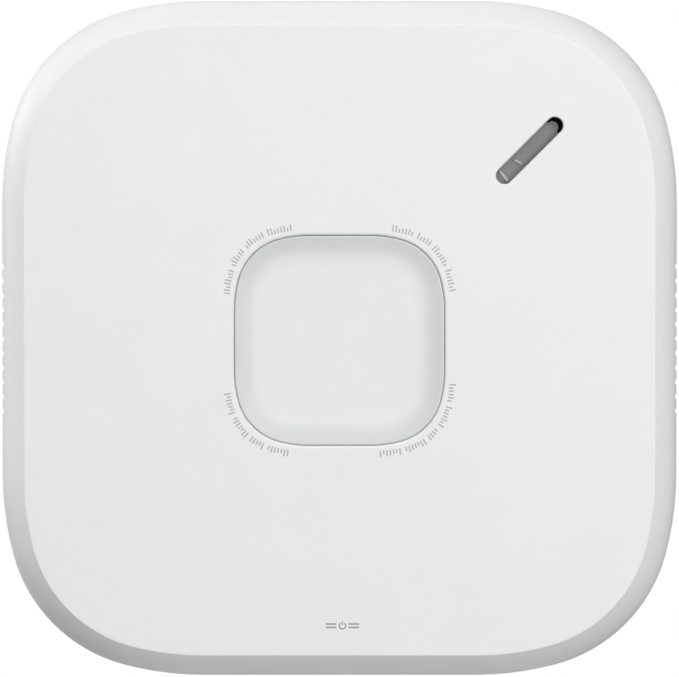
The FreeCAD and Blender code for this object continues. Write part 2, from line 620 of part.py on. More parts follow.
def radio():
    lift = "board_front + radio_lift"
    board = blocks("wireless_board", "radio_width", "radio_length", lift, lift + " + radio_board",
                   [("radio_x", "radio_y")])
    pads = [("radio_x + (%d) * (radio_width / 2 - 1)" % side, "radio_y + (%d)" % step)
            for side in (-1, 1) for step in (-9, -5, -1, 3)]
    board.pad(lambda s: [rectangle(s, x, y, "1", "2") for x, y in pads], "board_front", lift)
    blocks("wireless_shield", "shield_width", "shield_length", lift + " + radio_board",
           lift + " + radio_board + shield_height", [("radio_x", "shield_y")])


def transformer_and_bead():
    coil = Piece("horn_transformer")
    base, top = "board_front", "board_front + transformer_height"
    wide, core = "transformer_radius", "transformer_radius - 1.4"
    coil.turn([("0", base), (wide, base), (wide, base + " + 1.4"), (core, base + " + 1.4"),
               (core, top + " - 1.4"), (wide, top + " - 1.4"), (wide, top), ("0", top)],
              "transformer_x", "transformer_y")
    bead = Piece("temperature_sensor")
    bead.turn([("0", "bead_back"), ("bead_radius * 0.7", "bead_back"),
               ("bead_radius", "bead_back + 0.6"), ("bead_radius", "bead_back + 2.4"),
               ("0", "bead_back + 3.2")], "bead_x", "bead_y")
    leads = [("bead_x + (%s)" % shift, "bead_y") for shift in (-0.5, 0.5)]
    bead.pad(lambda s: [circle(s, x, y, "lead_radius") for x, y in leads],
             "bead_back + 2", "board_back")


def horn():
    shell = Piece("horn_housing")

    def about_horn(radius):
        return lambda s: circle(s, "horn_x", "horn_y", radius)
    disc_front, roof = "brass_back + brass_sheet", "horn_front - horn_wall"
    shell.pad(about_horn("horn_radius"), "horn_back", "horn_front")
    shell.cut(about_horn("brass_radius + 0.1"), "horn_back", disc_front)
    shell.cut(about_horn("ledge_radius"), disc_front, roof)
    # A curved duct lets the sound out at the slot's upper end.
    duct_x, duct_y = "horn_x + duct_at * cos(45)", "horn_y + duct_at * sin(45)"
    outline = shell.sketch(roof, x=duct_x, y=duct_y)
    sector(outline, "duct_inner", "duct_outer", "-45", "135")
    duct = shell.feature("Pocket", outline, Reversed=True)
    duct.setExpression("Length", bound("horn_wall"))
    legs = circle_of("horn_x", "horn_y", "horn_leg_at", (90, 210, 330))
    shell.pad(lambda s: [circle(s, x, y, "horn_leg") for x, y in legs],
              "board_front", "horn_back + 0.5")
    rib_x, rib_y = "horn_x - rib_at * cos(45)", "horn_y - rib_at * sin(45)"
    shell.pad(lambda s: stadium(s, rib_x, rib_y, "rib_length", "rib_width", "135"),
              "horn_front", "horn_front + rib_height")
    seal = Piece("horn_gasket")
    ceiling = "cover_front - cover_wall"
    seal.pad(lambda s: stadium(s, "horn_x", "horn_y", "gasket_length", "gasket_width", "45"),
             "horn_front", ceiling)
    seal.cut(lambda s: stadium(s, "horn_x", "horn_y", "gasket_inner_length",
                               "gasket_inner_width", "45"), "horn_front", ceiling)
    middle = [("horn_x", "horn_y")]
    discs("piezo_disc", "brass_radius", "brass_back", disc_front, middle)
    discs("piezo_ceramic", "ceramic_radius", "brass_back - ceramic_sheet", "brass_back", middle)
    discs("horn_contact_springs", "contact_radius", "board_front", "brass_back - ceramic_sheet",
          circle_of("horn_x", "horn_y", "contact_ring", (30, 150, 270)))


def smoke_chamber():
    x, y = "chamber_x", "chamber_y"
    seal_back, seal_inner = "board_back - seal_height", "chamber_radius - 3"
    base_back = "board_back - seal_height - chamber_base"
    seal = Piece("chamber_gasket")
    seal.turn([(seal_inner, seal_back), ("chamber_radius", seal_back),
               ("chamber_radius", "board_back"), (seal_inner, "board_back")], x, y)
    discs("smoke_chamber_base", "chamber_radius", base_back, seal_back, [(x, y)])
    maze = Piece("smoke_chamber_labyrinth")
    sketch = maze.sketch("chamber_cap_front", x=x, y=y)
    bend = "vane_outer - 1.6"
    polygon(sketch, [("vane_inner", "-1"), (bend, "2.4"), ("vane_outer - 0.6", "0"),
                     ("vane_outer - 0.6", "vane_width"), (bend, "2.4 + vane_width * 1.3"),
                     ("vane_inner", "-1 + vane_width * 1.3")])
    vane = maze.feature("Pad", sketch)
    vane.setExpression("Length", bound("%s - chamber_cap_front - 1" % base_back))
    maze.around([vane], SIZES["vane_count"], sketch)
    hoop_back, hoop_inner = base_back + " - 1.4", "vane_inner - 0.4"
    maze.turn([(hoop_inner, hoop_back), ("vane_outer", hoop_back), ("vane_outer", base_back),
               (hoop_inner, base_back)], x, y)
    cap = Piece("smoke_chamber_cap")
    cap.turn([("0", "chamber_cap_back"), ("chamber_radius - 0.8", "chamber_cap_back"),
              ("chamber_radius", "chamber_cap_back + 0.8"), ("chamber_radius", "chamber_cap_front"),
              ("0", "chamber_cap_front")], x, y)
    screen = Piece("insect_screen")
    screen_inner = "chamber_radius - screen_sheet"
    screen.turn([(screen_inner, "chamber_cap_front"), ("chamber_radius", "chamber_cap_front"),
                 ("chamber_radius", base_back), (screen_inner, base_back)], x, y)
    for label, side in (("infrared_led", "-"), ("photodiode", "")):
        optic = Piece(label)
        place_y = "%s(optic_y)" % side
        profile = optic.sketch(plane="YZ_Plane")
        circle(profile, place_y, "optic_level", "optic_radius")
        profile.setExpression("AttachmentOffset.Base.z", bound("chamber_x - optic_x"))
        barrel = optic.feature("Pad", profile)
        barrel.setExpression("Length", bound("optic_length"))
        legs = [("chamber_x - optic_x + %d" % step, place_y) for step in (1, 3)]
        optic.pad(lambda s: [circle(s, a, b, "lead_radius") for a, b in legs],
                  "optic_level", base_back)


def co_sensor():
    can = Piece("co_sensor_can")
    neck = "co_radius - 0.5"
    can.turn([("0", "co_back"), ("co_radius - 0.6", "co_back"), ("co_radius", "co_back + 0.6"),
              ("co_radius", "co_front - 3"), (neck, "co_front - 2.6"), (neck, "co_front"),
              ("0", "co_front")], "co_x", "co_y")
    cap_back = "co_back - co_cap_height"
    cap = discs("co_sensor_cap", "co_cap_radius", cap_back, "co_back", [("co_x", "co_y")])
    holes = [("co_x", "co_y")] + circle_of("co_x", "co_y", "co_hole_ring", range(0, 360, 60))
    cap.cut(lambda s: [circle(s, x, y, "co_hole") for x, y in holes], cap_back, "co_back")
    discs("co_sensor_pins", "co_pin", "co_front", "board_back",
          circle_of("co_x", "co_y", "co_pin_at", (90, 210, 330)))


def battery_cell(label, middle):
    """An AA cell lying up the wall, positive end up, turned about its own axis."""
    cell = Piece(label)
    sketch = cell.sketch("cell_level")
    tail = "-(cell_length + nub_length) / 2"
    shoulder, tip = tail + " + cell_length", tail + " + cell_length + nub_length"
    side, chamfer = middle + " + cell_radius", middle + " + cell_radius - 0.5"
    polygon(sketch, [(middle, tail), (chamfer, tail), (side, tail + " + 0.5"),
                     (side, shoulder + " - 0.5"), (chamfer, shoulder),
                     (middle + " + nub_radius", shoulder), (middle + " + nub_radius", tip),
                     (middle, tip)])
    line = Part.LineSegment(V(number(middle), -30, 0), V(number(middle), 30, 0))
    axis = sketch.addGeometry(line, True)
    fix_point(sketch, axis, 1, middle, "-30")
    fix_point(sketch, axis, 2, middle, "30")
    cell.feature("Revolution", sketch, ReferenceAxis=(sketch, ["Axis0"]), Angle=360)


def batteries():
    middles = ["(%d) * cell_pitch" % place for place in (-1, 0, 1)]
    for place, middle in enumerate(middles, start=1):
        battery_cell("battery_cell_%d" % place, middle)
    contacts = Piece("battery_contacts")
    sheet_y = "(bay_half_y - contact_sheet / 2)"
    contacts.pad(lambda s: [rectangle(s, x, side + sheet_y, "contact_size", "contact_sheet")
                            for x in middles for side in ("", "-")],
                 "cell_level - contact_size / 2", "cell_level + contact_size / 2")
    coils = Piece("battery_springs")
    cell_end, sheet_face = "(cell_length + nub_length) / 2", "bay_half_y - contact_sheet"
    # The pads run towards -Y, so each starts at the end with the larger Y.
    for start in (sheet_face, "-(%s)" % cell_end):
        profile = coils.sketch(plane="XZ_Plane", y=start)
        profile.setExpression("AttachmentOffset.Base.z", bound("-(%s)" % start))
        for x in middles:
            circle(profile, x, "cell_level", "coil_radius")
            circle(profile, x, "cell_level", "coil_radius - coil_wire")
        length = coils.feature("Pad", profile)
        length.setExpression("Length", bound("%s - %s" % (sheet_face, cell_end)))


def battery_door():
    door = Piece("battery_door")
    half_x, half_y = "bay_half_x - door_gap", "bay_half_y - door_gap"
    front = "rear_back + rear_plate"
    # The hinged end is half a barrel, so the flat starts half a plate further up.
    door.pad(lambda s: rectangle(s, "0", "rear_plate / 4", "2 * (%s)" % half_x,
                                 "2 * (%s) - rear_plate / 2" % half_y), "rear_back", front)
    for radius, reach in (("rear_plate / 2", half_x), ("hinge_pin", half_x + " + pin_length")):
        profile = door.sketch(plane="YZ_Plane")
        circle(profile, DOOR_AXIS_Y, DOOR_AXIS_Z, radius)
        barrel = door.feature("Pad", profile, Midplane=True)
        barrel.setExpression("Length", bound("2 * (%s)" % reach))
    for place in range(SIZES["tread_count"]):
        level = "bay_half_y - tread_inset - %d * tread_pitch" % place
        door.cut(lambda s: stadium(s, "0", level, "notch_width", "tread_width"),
                 "rear_back", "rear_back + tread_depth")
    blocks("battery_door_pad", "2 * pad_half_x", "2 * pad_half_y", front, front + " + pad_height",
           [("0", "2")])
    blocks("battery_door_label", "2 * label_half_x", "2 * label_half_y",
           "rear_back - label_height", "rear_back", [("0", "-4")])


def checked_pieces():
    """Recompute, and stop if any object failed or any piece is empty or not a valid shape."""
    sheet.clear("D1")
    doc.recompute()
    for thing in doc.Objects:
        if "Invalid" in thing.State or "Error" in thing.State:
            raise RuntimeError("%s did not recompute: %s" % (thing.Label, thing.State))
    for piece in Piece.made:
        shape = piece.body.Shape
        if shape.isNull() or not shape.isValid() or shape.Volume <= 0 or not shape.Solids:
            raise RuntimeError("%s has no valid solid" % piece.label)
    return Piece.made


mounting_plate()
rear_housing()
front_cover()
test_button()
button_parts()
main_board()
lights()
board_chips()
radio()
transformer_and_bead()
horn()
smoke_chamber()
co_sensor()
batteries()
battery_door()

os.makedirs("parts", exist_ok=True)
for piece in checked_pieces():
    piece.body.Shape.exportStep("parts/%s.step" % piece.label)
    box = piece.body.Shape.BoundBox
    print("%-26s solids %d  volume %9.1f  x %6.1f %6.1f  y %6.1f %6.1f  z %6.1f %6.1f" % (
        piece.label, len(piece.body.Shape.Solids), piece.body.Shape.Volume,
        box.XMin, box.XMax, box.YMin, box.YMax, box.ZMin, box.ZMax))
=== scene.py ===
"""Square wall-mounted smoke alarm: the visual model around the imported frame, in metres."""
import json
import math

import bmesh
import bpy
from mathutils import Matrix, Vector


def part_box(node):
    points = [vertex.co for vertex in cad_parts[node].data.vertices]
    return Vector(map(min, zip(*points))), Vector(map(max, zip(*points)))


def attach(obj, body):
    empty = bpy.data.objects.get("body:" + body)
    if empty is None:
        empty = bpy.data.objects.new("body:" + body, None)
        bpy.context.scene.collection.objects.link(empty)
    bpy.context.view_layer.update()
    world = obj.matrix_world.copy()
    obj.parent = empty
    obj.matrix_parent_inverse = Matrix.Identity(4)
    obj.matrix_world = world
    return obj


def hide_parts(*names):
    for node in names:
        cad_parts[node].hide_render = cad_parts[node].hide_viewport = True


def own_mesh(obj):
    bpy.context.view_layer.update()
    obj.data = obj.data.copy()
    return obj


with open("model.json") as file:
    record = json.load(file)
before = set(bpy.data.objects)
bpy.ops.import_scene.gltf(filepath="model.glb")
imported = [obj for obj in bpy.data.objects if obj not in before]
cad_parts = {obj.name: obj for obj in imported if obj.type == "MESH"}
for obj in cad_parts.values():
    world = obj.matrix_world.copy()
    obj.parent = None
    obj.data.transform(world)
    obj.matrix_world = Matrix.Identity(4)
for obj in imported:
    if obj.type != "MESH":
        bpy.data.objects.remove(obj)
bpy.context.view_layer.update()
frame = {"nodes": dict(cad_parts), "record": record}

MM = 0.001
LEAD = math.radians(15)
CORNER_REACH = 1.2930    # how far a corner reaches along a side, over its middle radius

# ---------------------------------------------------------------- sizes, from the frame
COVER_LOW, COVER_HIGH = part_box("front_cover")
COVER_HALF = (COVER_HIGH[0] - COVER_LOW[0]) / 2
COVER_FRONT = -COVER_LOW[1]
COVER_BACK = -COVER_HIGH[1]
BUTTON_LOW, BUTTON_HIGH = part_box("test_button")
BUTTON_FRONT = -BUTTON_LOW[1]
BUTTON_BACK = -BUTTON_HIGH[1]
FLANGE_HALF = (BUTTON_HIGH[0] - BUTTON_LOW[0]) / 2
HORN_LOW, HORN_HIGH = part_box("horn_gasket")
HORN = ((HORN_LOW[0] + HORN_HIGH[0]) / 2, (HORN_LOW[2] + HORN_HIGH[2]) / 2)
PIPE_LOW, PIPE_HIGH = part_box("power_light_pipe")
PIPE = ((PIPE_LOW[0] + PIPE_HIGH[0]) / 2, (PIPE_LOW[2] + PIPE_HIGH[2]) / 2)

COVER_CORNER = 32.3 * MM
CORNER_SHARE = 0.82    # of the inset: the band is a little wider round the corners
COVER_WALL = 2.2 * MM
BAND_RADIUS = 14.6 * MM
BAND_START = COVER_FRONT - 11.0 * MM
FACE_EDGE = 0.4 * MM
RIM_EDGE = 0.5 * MM
APERTURE_HALF = 21.70 * MM
APERTURE_CORNER = 11.85 * MM
LIP = 0.48 * MM
COLLAR_WALL = 1.6 * MM
COLLAR_BACK = COVER_FRONT - 6.0 * MM
CEILING = COVER_FRONT - COVER_WALL
CEILING_HALF = 65.0 * MM
CEILING_CORNER = COVER_CORNER - 5 * MM
CEILING_START = COVER_FRONT - 10.0 * MM
SLOT_LENGTH = 18.1 * MM
SLOT_WIDTH = 3.5 * MM
SLOT_TURN = math.radians(45)
SLOT_EDGE = 0.3 * MM

BUTTON_HALF = 21.62 * MM
BUTTON_CORNER = 11.77 * MM
BUTTON_EDGE = 0.3 * MM
FLANGE_CORNER = 13.95 * MM
FLANGE_HEIGHT = 1.6 * MM
SKIRT_WALL = 2.0 * MM
BUTTON_WALL = 1.6 * MM
DISH_SLOPE = 6.8 * MM
DISH_DEPTH = 1.0 * MM
SLOPE_SHARE = 0.94    # of the dish's depth; its floor sinks the rest of the way to the middle


# ---------------------------------------------------------------- outlines
def soft_square(half, corner, per_arc=(5, 16, 5), side_stops=()):
    """A square whose corners turn 15, 60 and 15 degrees on arcs of two, one and two radii.

    side_stops are places along the two upright sides, where the outline gets points of its own.
    """
    corner = min(corner, half / CORNER_REACH)
    wide = 2 * corner
    extent = wide - corner * (math.cos(LEAD) - math.sin(LEAD))
    middle = half - wide + corner * math.cos(LEAD)
    quarter = math.pi / 2
    arcs = [((half - wide, half - extent), wide, 0, LEAD, per_arc[0]),
            ((middle, middle), corner, LEAD, quarter - LEAD, per_arc[1]),
            ((half - extent, half - wide), wide, quarter - LEAD, quarter, per_arc[2])]
    points = []
    for turn in range(4):
        cos, sin = (1, 0, -1, 0)[turn], (0, 1, 0, -1)[turn]
        local = [(half, place) for place in side_stops if turn in (0, 2)]
        for (cx, cy), radius, start, end, count in arcs:
            for step in range(count):
                angle = start + (end - start) * step / count
                local.append((cx + radius * math.cos(angle), cy + radius * math.sin(angle)))
        local.append((half - extent, half))
        points += [(x * cos - y * sin, x * sin + y * cos) for x, y in local]
    return points


def stadium(centre, length, width, turn, count=14):
    """A slot's outline about its middle, with round ends."""
    reach = (length - width) / 2
    cos, sin = math.cos(turn), math.sin(turn)
    points = []
    for end in (0, 1):
        for step in range(count + 1):
            angle = -math.pi / 2 + math.pi * step / count + math.pi * end
            x = (reach if end == 0 else -reach) + width / 2 * math.cos(angle)
            y = width / 2 * math.sin(angle)
            points.append((centre[0] + x * cos - y * sin, centre[1] + x * sin + y * cos))
    return points


def disc(centre, radius, count=36):
    turns = [2 * math.pi * step / count for step in range(count)]
    return [(centre[0] + radius * math.cos(a), centre[1] + radius * math.sin(a)) for a in turns]


def at(u, v, level):
    """A point of the face-up frame (right, up the wall, away from the wall) in the row frame."""
    return Vector((u, -level, v))


def spread(start, end, count):
    return [start + (end - start) * step / count for step in range(count + 1)]


# ---------------------------------------------------------------- meshes
def ring(mesh, points, level):
    return [mesh.verts.new(at(u, v, level)) for u, v in points]


def bridge(mesh, first, second):
    count = len(first)
    for i in range(count):
        j = (i + 1) % count
        mesh.faces.new((first[i], first[j], second[j], second[i]))


def loft(mesh, rings):
    for first, second in zip(rings, rings[1:]):
        bridge(mesh, first, second)


def fill(mesh, *loops):
    """Flat faces between loops that lie in one plane: an outline and its holes."""
    edges = []
    for loop in loops:
        for i, vertex in enumerate(loop):
            other = loop[(i + 1) % len(loop)]
            edges.append(mesh.edges.get((vertex, other)) or mesh.edges.new((vertex, other)))
    bmesh.ops.triangle_fill(mesh, edges=edges, use_beauty=True, use_dissolve=False)


def tube(mesh, path, radius, sides=8, closed=False):
    """A round wire along points, with flat ends unless it closes on itself."""
    rings = []
    count = len(path)
    for i, point in enumerate(path):
        before = path[i - 1] if closed or i else path[0]
        after = path[(i + 1) % count] if closed or i + 1 < count else path[-1]
        along = (after - before).normalized()
        guide = Vector((0.123, 0.456, 0.881)) if abs(along.y) > 0.9 else Vector((0, 1, 0))
        side = along.cross(guide).normalized()
        other = along.cross(side)
        rings.append([mesh.verts.new(point + (side * math.cos(a) + other * math.sin(a)) * radius)
                      for a in (2 * math.pi * k / sides for k in range(sides))])
    loft(mesh, rings)
    if closed:
        bridge(mesh, rings[-1], rings[0])
    else:
        mesh.faces.new(rings[0])
        mesh.faces.new(rings[-1])


STEPS_PER_TURN = 20
CLOSED_TURN = 0.9


def helix(low, high, axis, wire, turns):
    """Points of a coil spring that fills a box along one axis, with its end turns closed."""
    middle = [(low[i] + high[i]) / 2 for i in range(3)]
    across = [i for i in range(3) if i != axis]
    reach = (high[across[0]] - low[across[0]]) / 2 - wire
    length = high[axis] - low[axis] - 2 * wire
    steps = int(turns * STEPS_PER_TURN)
    points = []
    for step in range(steps + 1):
        done = step / steps * turns
        climb = min(max((done - CLOSED_TURN) / (turns - 2 * CLOSED_TURN), 0.0), 1.0)
        point = [0.0, 0.0, 0.0]
        point[across[0]] = middle[across[0]] + reach * math.cos(2 * math.pi * done)
        point[across[1]] = middle[across[1]] + reach * math.sin(2 * math.pi * done)
        point[axis] = low[axis] + wire + length * climb
        points.append(Vector(point))
    return points


def islands(node):
    """The box of each separate solid of a CAD node, in the row frame."""
    data = frame["nodes"][node].data
    places = {}
    keys = [tuple(round(c, 6) for c in vertex.co) for vertex in data.vertices]
    for key in keys:
        places.setdefault(key, key)

    def root(key):
        while places[key] != key:
            places[key] = places[places[key]]
            key = places[key]
        return key
    for polygon in data.polygons:
        corners = [keys[i] for i in polygon.vertices]
        for corner in corners[1:]:
            places[root(corner)] = root(corners[0])
    groups = {}
    for key in places:
        groups.setdefault(root(key), []).append(key)
    boxes = [([min(key[i] for key in group) for i in range(3)],
              [max(key[i] for key in group) for i in range(3)]) for group in groups.values()]
    return sorted(boxes)


def finished(mesh, name, slot_name, body, *nodes):
    """Turn a bmesh into a smooth-shaded piece that rides on a body."""
    bmesh.ops.recalc_face_normals(mesh, faces=mesh.faces)
    for face in mesh.faces:
        face.smooth = True
    data = bpy.data.meshes.new(name)
    mesh.to_mesh(data)
    mesh.free()
    piece = bpy.data.objects.new(name, data)
    bpy.context.scene.collection.objects.link(piece)
    if nodes:
        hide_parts(*nodes)
    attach(piece, body)
    return piece


def sharpen(piece, degrees=32):
    """Keep the creases of a piece crisp and the rest smooth."""
    piece.data.set_sharp_from_angle(angle=math.radians(degrees))
    return piece


# ---------------------------------------------------------------- materials
class Shader:
    """A Principled material with short names for the nodes that give it its detail."""

    def __init__(self, name, colour, roughness, **sockets):
        self.material = bpy.data.materials.new(name)
        self.material.use_nodes = True
        self.nodes = self.material.node_tree.nodes
        self.links = self.material.node_tree.links
        self.out = self.nodes["Principled BSDF"]
        self.out.inputs["Base Color"].default_value = (*colour, 1)
        self.out.inputs["Roughness"].default_value = roughness
        for socket, value in sockets.items():
            self.out.inputs[socket.replace("_", " ")].default_value = value
        self.place = self.nodes.new("ShaderNodeTexCoord").outputs["Object"]
        self.height = None

    def stretched(self, factors):
        """The place, scaled along each axis, so that patterns run in streaks."""
        node = self.nodes.new("ShaderNodeMapping")
        node.inputs["Scale"].default_value = factors
        self.links.new(self.place, node.inputs["Vector"])
        return node.outputs["Vector"]

    def noise(self, scale, detail=3.0, rough=0.55, place=None):
        node = self.nodes.new("ShaderNodeTexNoise")
        node.inputs["Scale"].default_value = scale
        node.inputs["Detail"].default_value = detail
        node.inputs["Roughness"].default_value = rough
        self.links.new(place or self.place, node.inputs["Vector"])
        return node.outputs["Fac"]

    def cells(self, scale, feature="F1", metric="EUCLIDEAN", place=None):
        node = self.nodes.new("ShaderNodeTexVoronoi")
        node.feature = feature
        if feature != "DISTANCE_TO_EDGE":
            node.distance = metric
        node.inputs["Scale"].default_value = scale
        self.links.new(place or self.place, node.inputs["Vector"])
        return node.outputs["Distance"]

    def waves(self, scale, axis, distortion=0.0):
        node = self.nodes.new("ShaderNodeTexWave")
        node.bands_direction = axis
        node.inputs["Scale"].default_value = scale
        node.inputs["Distortion"].default_value = distortion
        self.links.new(self.place, node.inputs["Vector"])
        return node.outputs["Fac"]

    def part(self, axis):
        """One coordinate of the place, in metres."""
        node = self.nodes.new("ShaderNodeSeparateXYZ")
        self.links.new(self.place, node.inputs["Vector"])
        return node.outputs[axis]

    def both(self, first, second, operation="MULTIPLY"):
        node = self.nodes.new("ShaderNodeMath")
        node.operation = operation
        self.links.new(first, node.inputs[0])
        self.links.new(second, node.inputs[1])
        return node.outputs["Value"]

    def ramp(self, source, low, high, start=0.0, end=1.0, smooth=False):
        node = self.nodes.new("ShaderNodeMapRange")
        node.interpolation_type = "SMOOTHSTEP" if smooth else "LINEAR"
        node.inputs["From Min"].default_value = start
        node.inputs["From Max"].default_value = end
        node.inputs["To Min"].default_value = low
        node.inputs["To Max"].default_value = high
        self.links.new(source, node.inputs["Value"])
        return node.outputs["Result"]

    def tint(self, factor, other):
        """Mix the colour so far towards another one."""
        node = self.nodes.new("ShaderNodeMix")
        node.data_type = "RGBA"
        base = self.out.inputs["Base Color"]
        if base.is_linked:
            self.links.new(base.links[0].from_socket, node.inputs["A"])
        else:
            node.inputs["A"].default_value = base.default_value
        node.inputs["B"].default_value = (*other, 1)
        self.links.new(factor, node.inputs["Factor"])
        self.links.new(node.outputs["Result"], base)

    def rough(self, source, low, high):
        self.links.new(self.ramp(source, low, high, 0.3, 0.7), self.out.inputs["Roughness"])

    def bump(self, source, depth, strength=1.0):
        """Raise the surface by depth metres where the source is one."""
        node = self.nodes.new("ShaderNodeBump")
        node.inputs["Distance"].default_value = depth
        node.inputs["Strength"].default_value = strength
        self.links.new(source, node.inputs["Height"])
        if self.height is not None:
            self.links.new(self.height, node.inputs["Normal"])
        self.height = node.outputs["Normal"]
        self.links.new(self.height, self.out.inputs["Normal"])

    def worn_edges(self, radius, other, amount=0.5):
        """Change the colour along edges, where a rounded normal leaves the real one."""
        bevel = self.nodes.new("ShaderNodeBevel")
        bevel.samples = 4
        bevel.inputs["Radius"].default_value = radius
        true = self.nodes.new("ShaderNodeNewGeometry")
        dot = self.nodes.new("ShaderNodeVectorMath")
        dot.operation = "DOT_PRODUCT"
        self.links.new(bevel.outputs["Normal"], dot.inputs[0])
        self.links.new(true.outputs["Normal"], dot.inputs[1])
        self.tint(self.ramp(dot.outputs["Value"], amount, 0.0, 0.6, 0.98), other)


def scaled(colour, factor):
    return tuple(min(1.0, channel * factor) for channel in colour)


def moulded(name, colour, roughness=0.5, grain=1.0, worn=True):
    """Moulded plastic: a fine eroded grain, faint mottling, and edges rubbed a little lighter."""
    made = Shader(name, colour, roughness)
    made.tint(made.ramp(made.noise(60, 4), 0.0, 0.5, 0.35, 0.75), scaled(colour, 0.965))
    made.rough(made.noise(220, 3), roughness - 0.06, roughness + 0.08)
    made.bump(made.noise(2600, 2, 0.6), 0.000045 * grain, 0.55)
    made.bump(made.cells(1500), 0.00003 * grain, 0.3)
    if worn:
        made.worn_edges(0.0004, scaled(colour, 1.08))
    return made


def opal(name, colour):
    """The button's opal plastic, with painted shade on its rim and upper dish slopes, fading
    towards the dish's floor.
    """
    made = moulded(name, colour, 0.42, 0.5, worn=False)
    level = made.part("Y")
    front = -BUTTON_FRONT
    rim_shade_depth, slope_shade_start, slope_shade_end = 1.05 * MM, 0.38 * MM, 0.9 * MM
    # Painted shade, slightly green: darkest at the front level, gone a little over a millimetre
    # deeper.
    made.tint(made.ramp(level, 1.0, 0.0, front, front + rim_shade_depth), (0.675, 0.697, 0.687))
    # More painted shade down the upper part of the dish's slopes.
    slope = made.ramp(level, 0.4, 0.0, front + slope_shade_start, front + slope_shade_end, smooth=True)
    made.tint(slope, (0.52, 0.546, 0.536))
    return made


def metal(name, colour, roughness, streaks=(1, 1, 1)):
    """Bare or plated metal: drawn streaks, small scratches, dull patches and darker edges."""
    made = Shader(name, colour, roughness, Metallic=1.0)
    drawn = made.stretched(streaks)
    made.tint(made.ramp(made.noise(400, 4, 0.6), 0.0, 0.55, 0.45, 0.75), scaled(colour, 0.72))
    made.rough(made.noise(700, 3, place=drawn), roughness - 0.08, roughness + 0.14)
    made.bump(made.noise(2400, 3, place=drawn), 0.00002, 0.5)
    made.bump(made.cells(900, "DISTANCE_TO_EDGE", place=drawn), 0.00001, 0.3)
    made.worn_edges(0.0002, scaled(colour, 0.8), 0.6)
    return made


def foam(name, colour, pores=2200):
    made = Shader(name, colour, 0.95)
    # The pits of the pores are painted darker: painted shade.
    made.tint(made.ramp(made.cells(pores), 0.6, 0.0, 0.0, 0.5), scaled(colour, 0.4))
    made.rough(made.noise(900), 0.85, 1.0)
    made.bump(made.cells(pores), 0.00012, 0.9)
    made.bump(made.noise(5000), 0.00003, 0.6)
    return made


def laminate(name, colour, track):
    """Solder-masked board: glass weave, square-cornered tracks and a glossy skin."""
    made = Shader(name, colour, 0.32, Coat_Weight=0.5)
    weave = made.both(made.waves(900, "X", 1.0), made.waves(900, "Z", 1.0), "MAXIMUM")
    made.tint(made.ramp(weave, 0.0, 0.25, 0.4, 1.0), scaled(colour, 0.8))
    tracks = made.cells(260, metric="CHEBYCHEV")
    made.tint(made.ramp(tracks, 0.0, 0.8, 0.46, 0.5), track)
    dots = made.cells(420)
    made.tint(made.ramp(dots, 0.9, 0.0, 0.1, 0.14), (0.55, 0.5, 0.42))
    made.rough(made.noise(500), 0.24, 0.42)
    made.bump(weave, 0.000015, 0.5)
    made.bump(tracks, 0.00003, 0.5)
    return made


def clear(name, colour, transmission, roughness):
    """Cast or moulded clear plastic with flow marks and dust in it."""
    made = Shader(name, colour, roughness, Transmission_Weight=transmission, IOR=1.49)
    made.tint(made.ramp(made.noise(900, 4), 0.0, 0.4, 0.55, 0.8), scaled(colour, 0.85))
    made.rough(made.noise(350, 3), roughness, roughness + 0.15)
    made.bump(made.noise(500, 2), 0.00004, 0.4)
    made.bump(made.noise(4000, 2), 0.000008, 0.4)
    return made


def epoxy(name, colour, roughness=0.55):
    """Moulded epoxy: a sandy skin with paler filler grains."""
    made = Shader(name, colour, roughness)
    made.tint(made.ramp(made.cells(5200), 0.5, 0.0, 0.0, 0.35), scaled(colour, 2.2))
    made.rough(made.noise(900), roughness - 0.1, roughness + 0.12)
    made.bump(made.noise(6000, 2), 0.00002, 0.7)
    made.worn_edges(0.00015, scaled(colour, 2.0), 0.6)
    return made


def ink(name, colour):
    """Pad-printed ink, thinner in places so that it looks a little uneven."""
    made = Shader(name, colour, 0.6)
    made.tint(made.ramp(made.noise(3000, 2), 0.0, 0.7, 0.4, 0.7), scaled(colour, 1.16))
    made.rough(made.noise(1800), 0.5, 0.7)
    made.bump(made.noise(5000, 2), 0.00001, 0.4)
    return made


def lacquered_wire(name, colour):
    """Fine wire wound round a core: ridges across the winding, with painted shade in the grooves
    between them.
    """
    made = Shader(name, colour, 0.35, Metallic=0.7)
    ridges = made.waves(700, "Y", 0.2)
    # Painted shade darkens the grooves between the ridges.
    made.tint(made.ramp(ridges, 0.7, 0.0, 0.0, 0.5), scaled(colour, 0.35))
    made.rough(made.noise(600), 0.25, 0.5)
    made.bump(ridges, 0.0002, 0.9)
    return made


def cell_wrap():
    """Plain printed film round a steel can: a thin grey line near one end, and bare metal ends."""
    film, line, steel = (0.05, 0.075, 0.10), (0.42, 0.43, 0.44), (0.62, 0.62, 0.6)
    made = Shader("cell_wrap", film, 0.32, Coat_Weight=0.3)
    line_top, line_foot, film_top, film_foot = -10.0 * MM, -11.2 * MM, 23.8 * MM, -24.7 * MM
    blur = 0.1 * MM
    level = made.part("Z")
    made.tint(made.ramp(level, 1.0, 0.0, line_top - blur, line_top), line)
    made.tint(made.ramp(level, 1.0, 0.0, line_foot - blur, line_foot), film)
    upper_end = made.ramp(level, 0.0, 1.0, film_top - blur, film_top + blur)
    lower_end = made.ramp(level, 1.0, 0.0, film_foot - blur, film_foot + blur)
    made.tint(upper_end, steel)
    made.tint(lower_end, steel)
    made.links.new(made.both(upper_end, lower_end, "MAXIMUM"), made.out.inputs["Metallic"])
    made.tint(made.ramp(made.noise(160, 4), 0.0, 0.25, 0.40, 0.75), (0.09, 0.115, 0.14))
    made.rough(made.noise(300, 4), 0.25, 0.42)
    made.bump(made.noise(900, 3), 0.00002, 0.5)
    return made


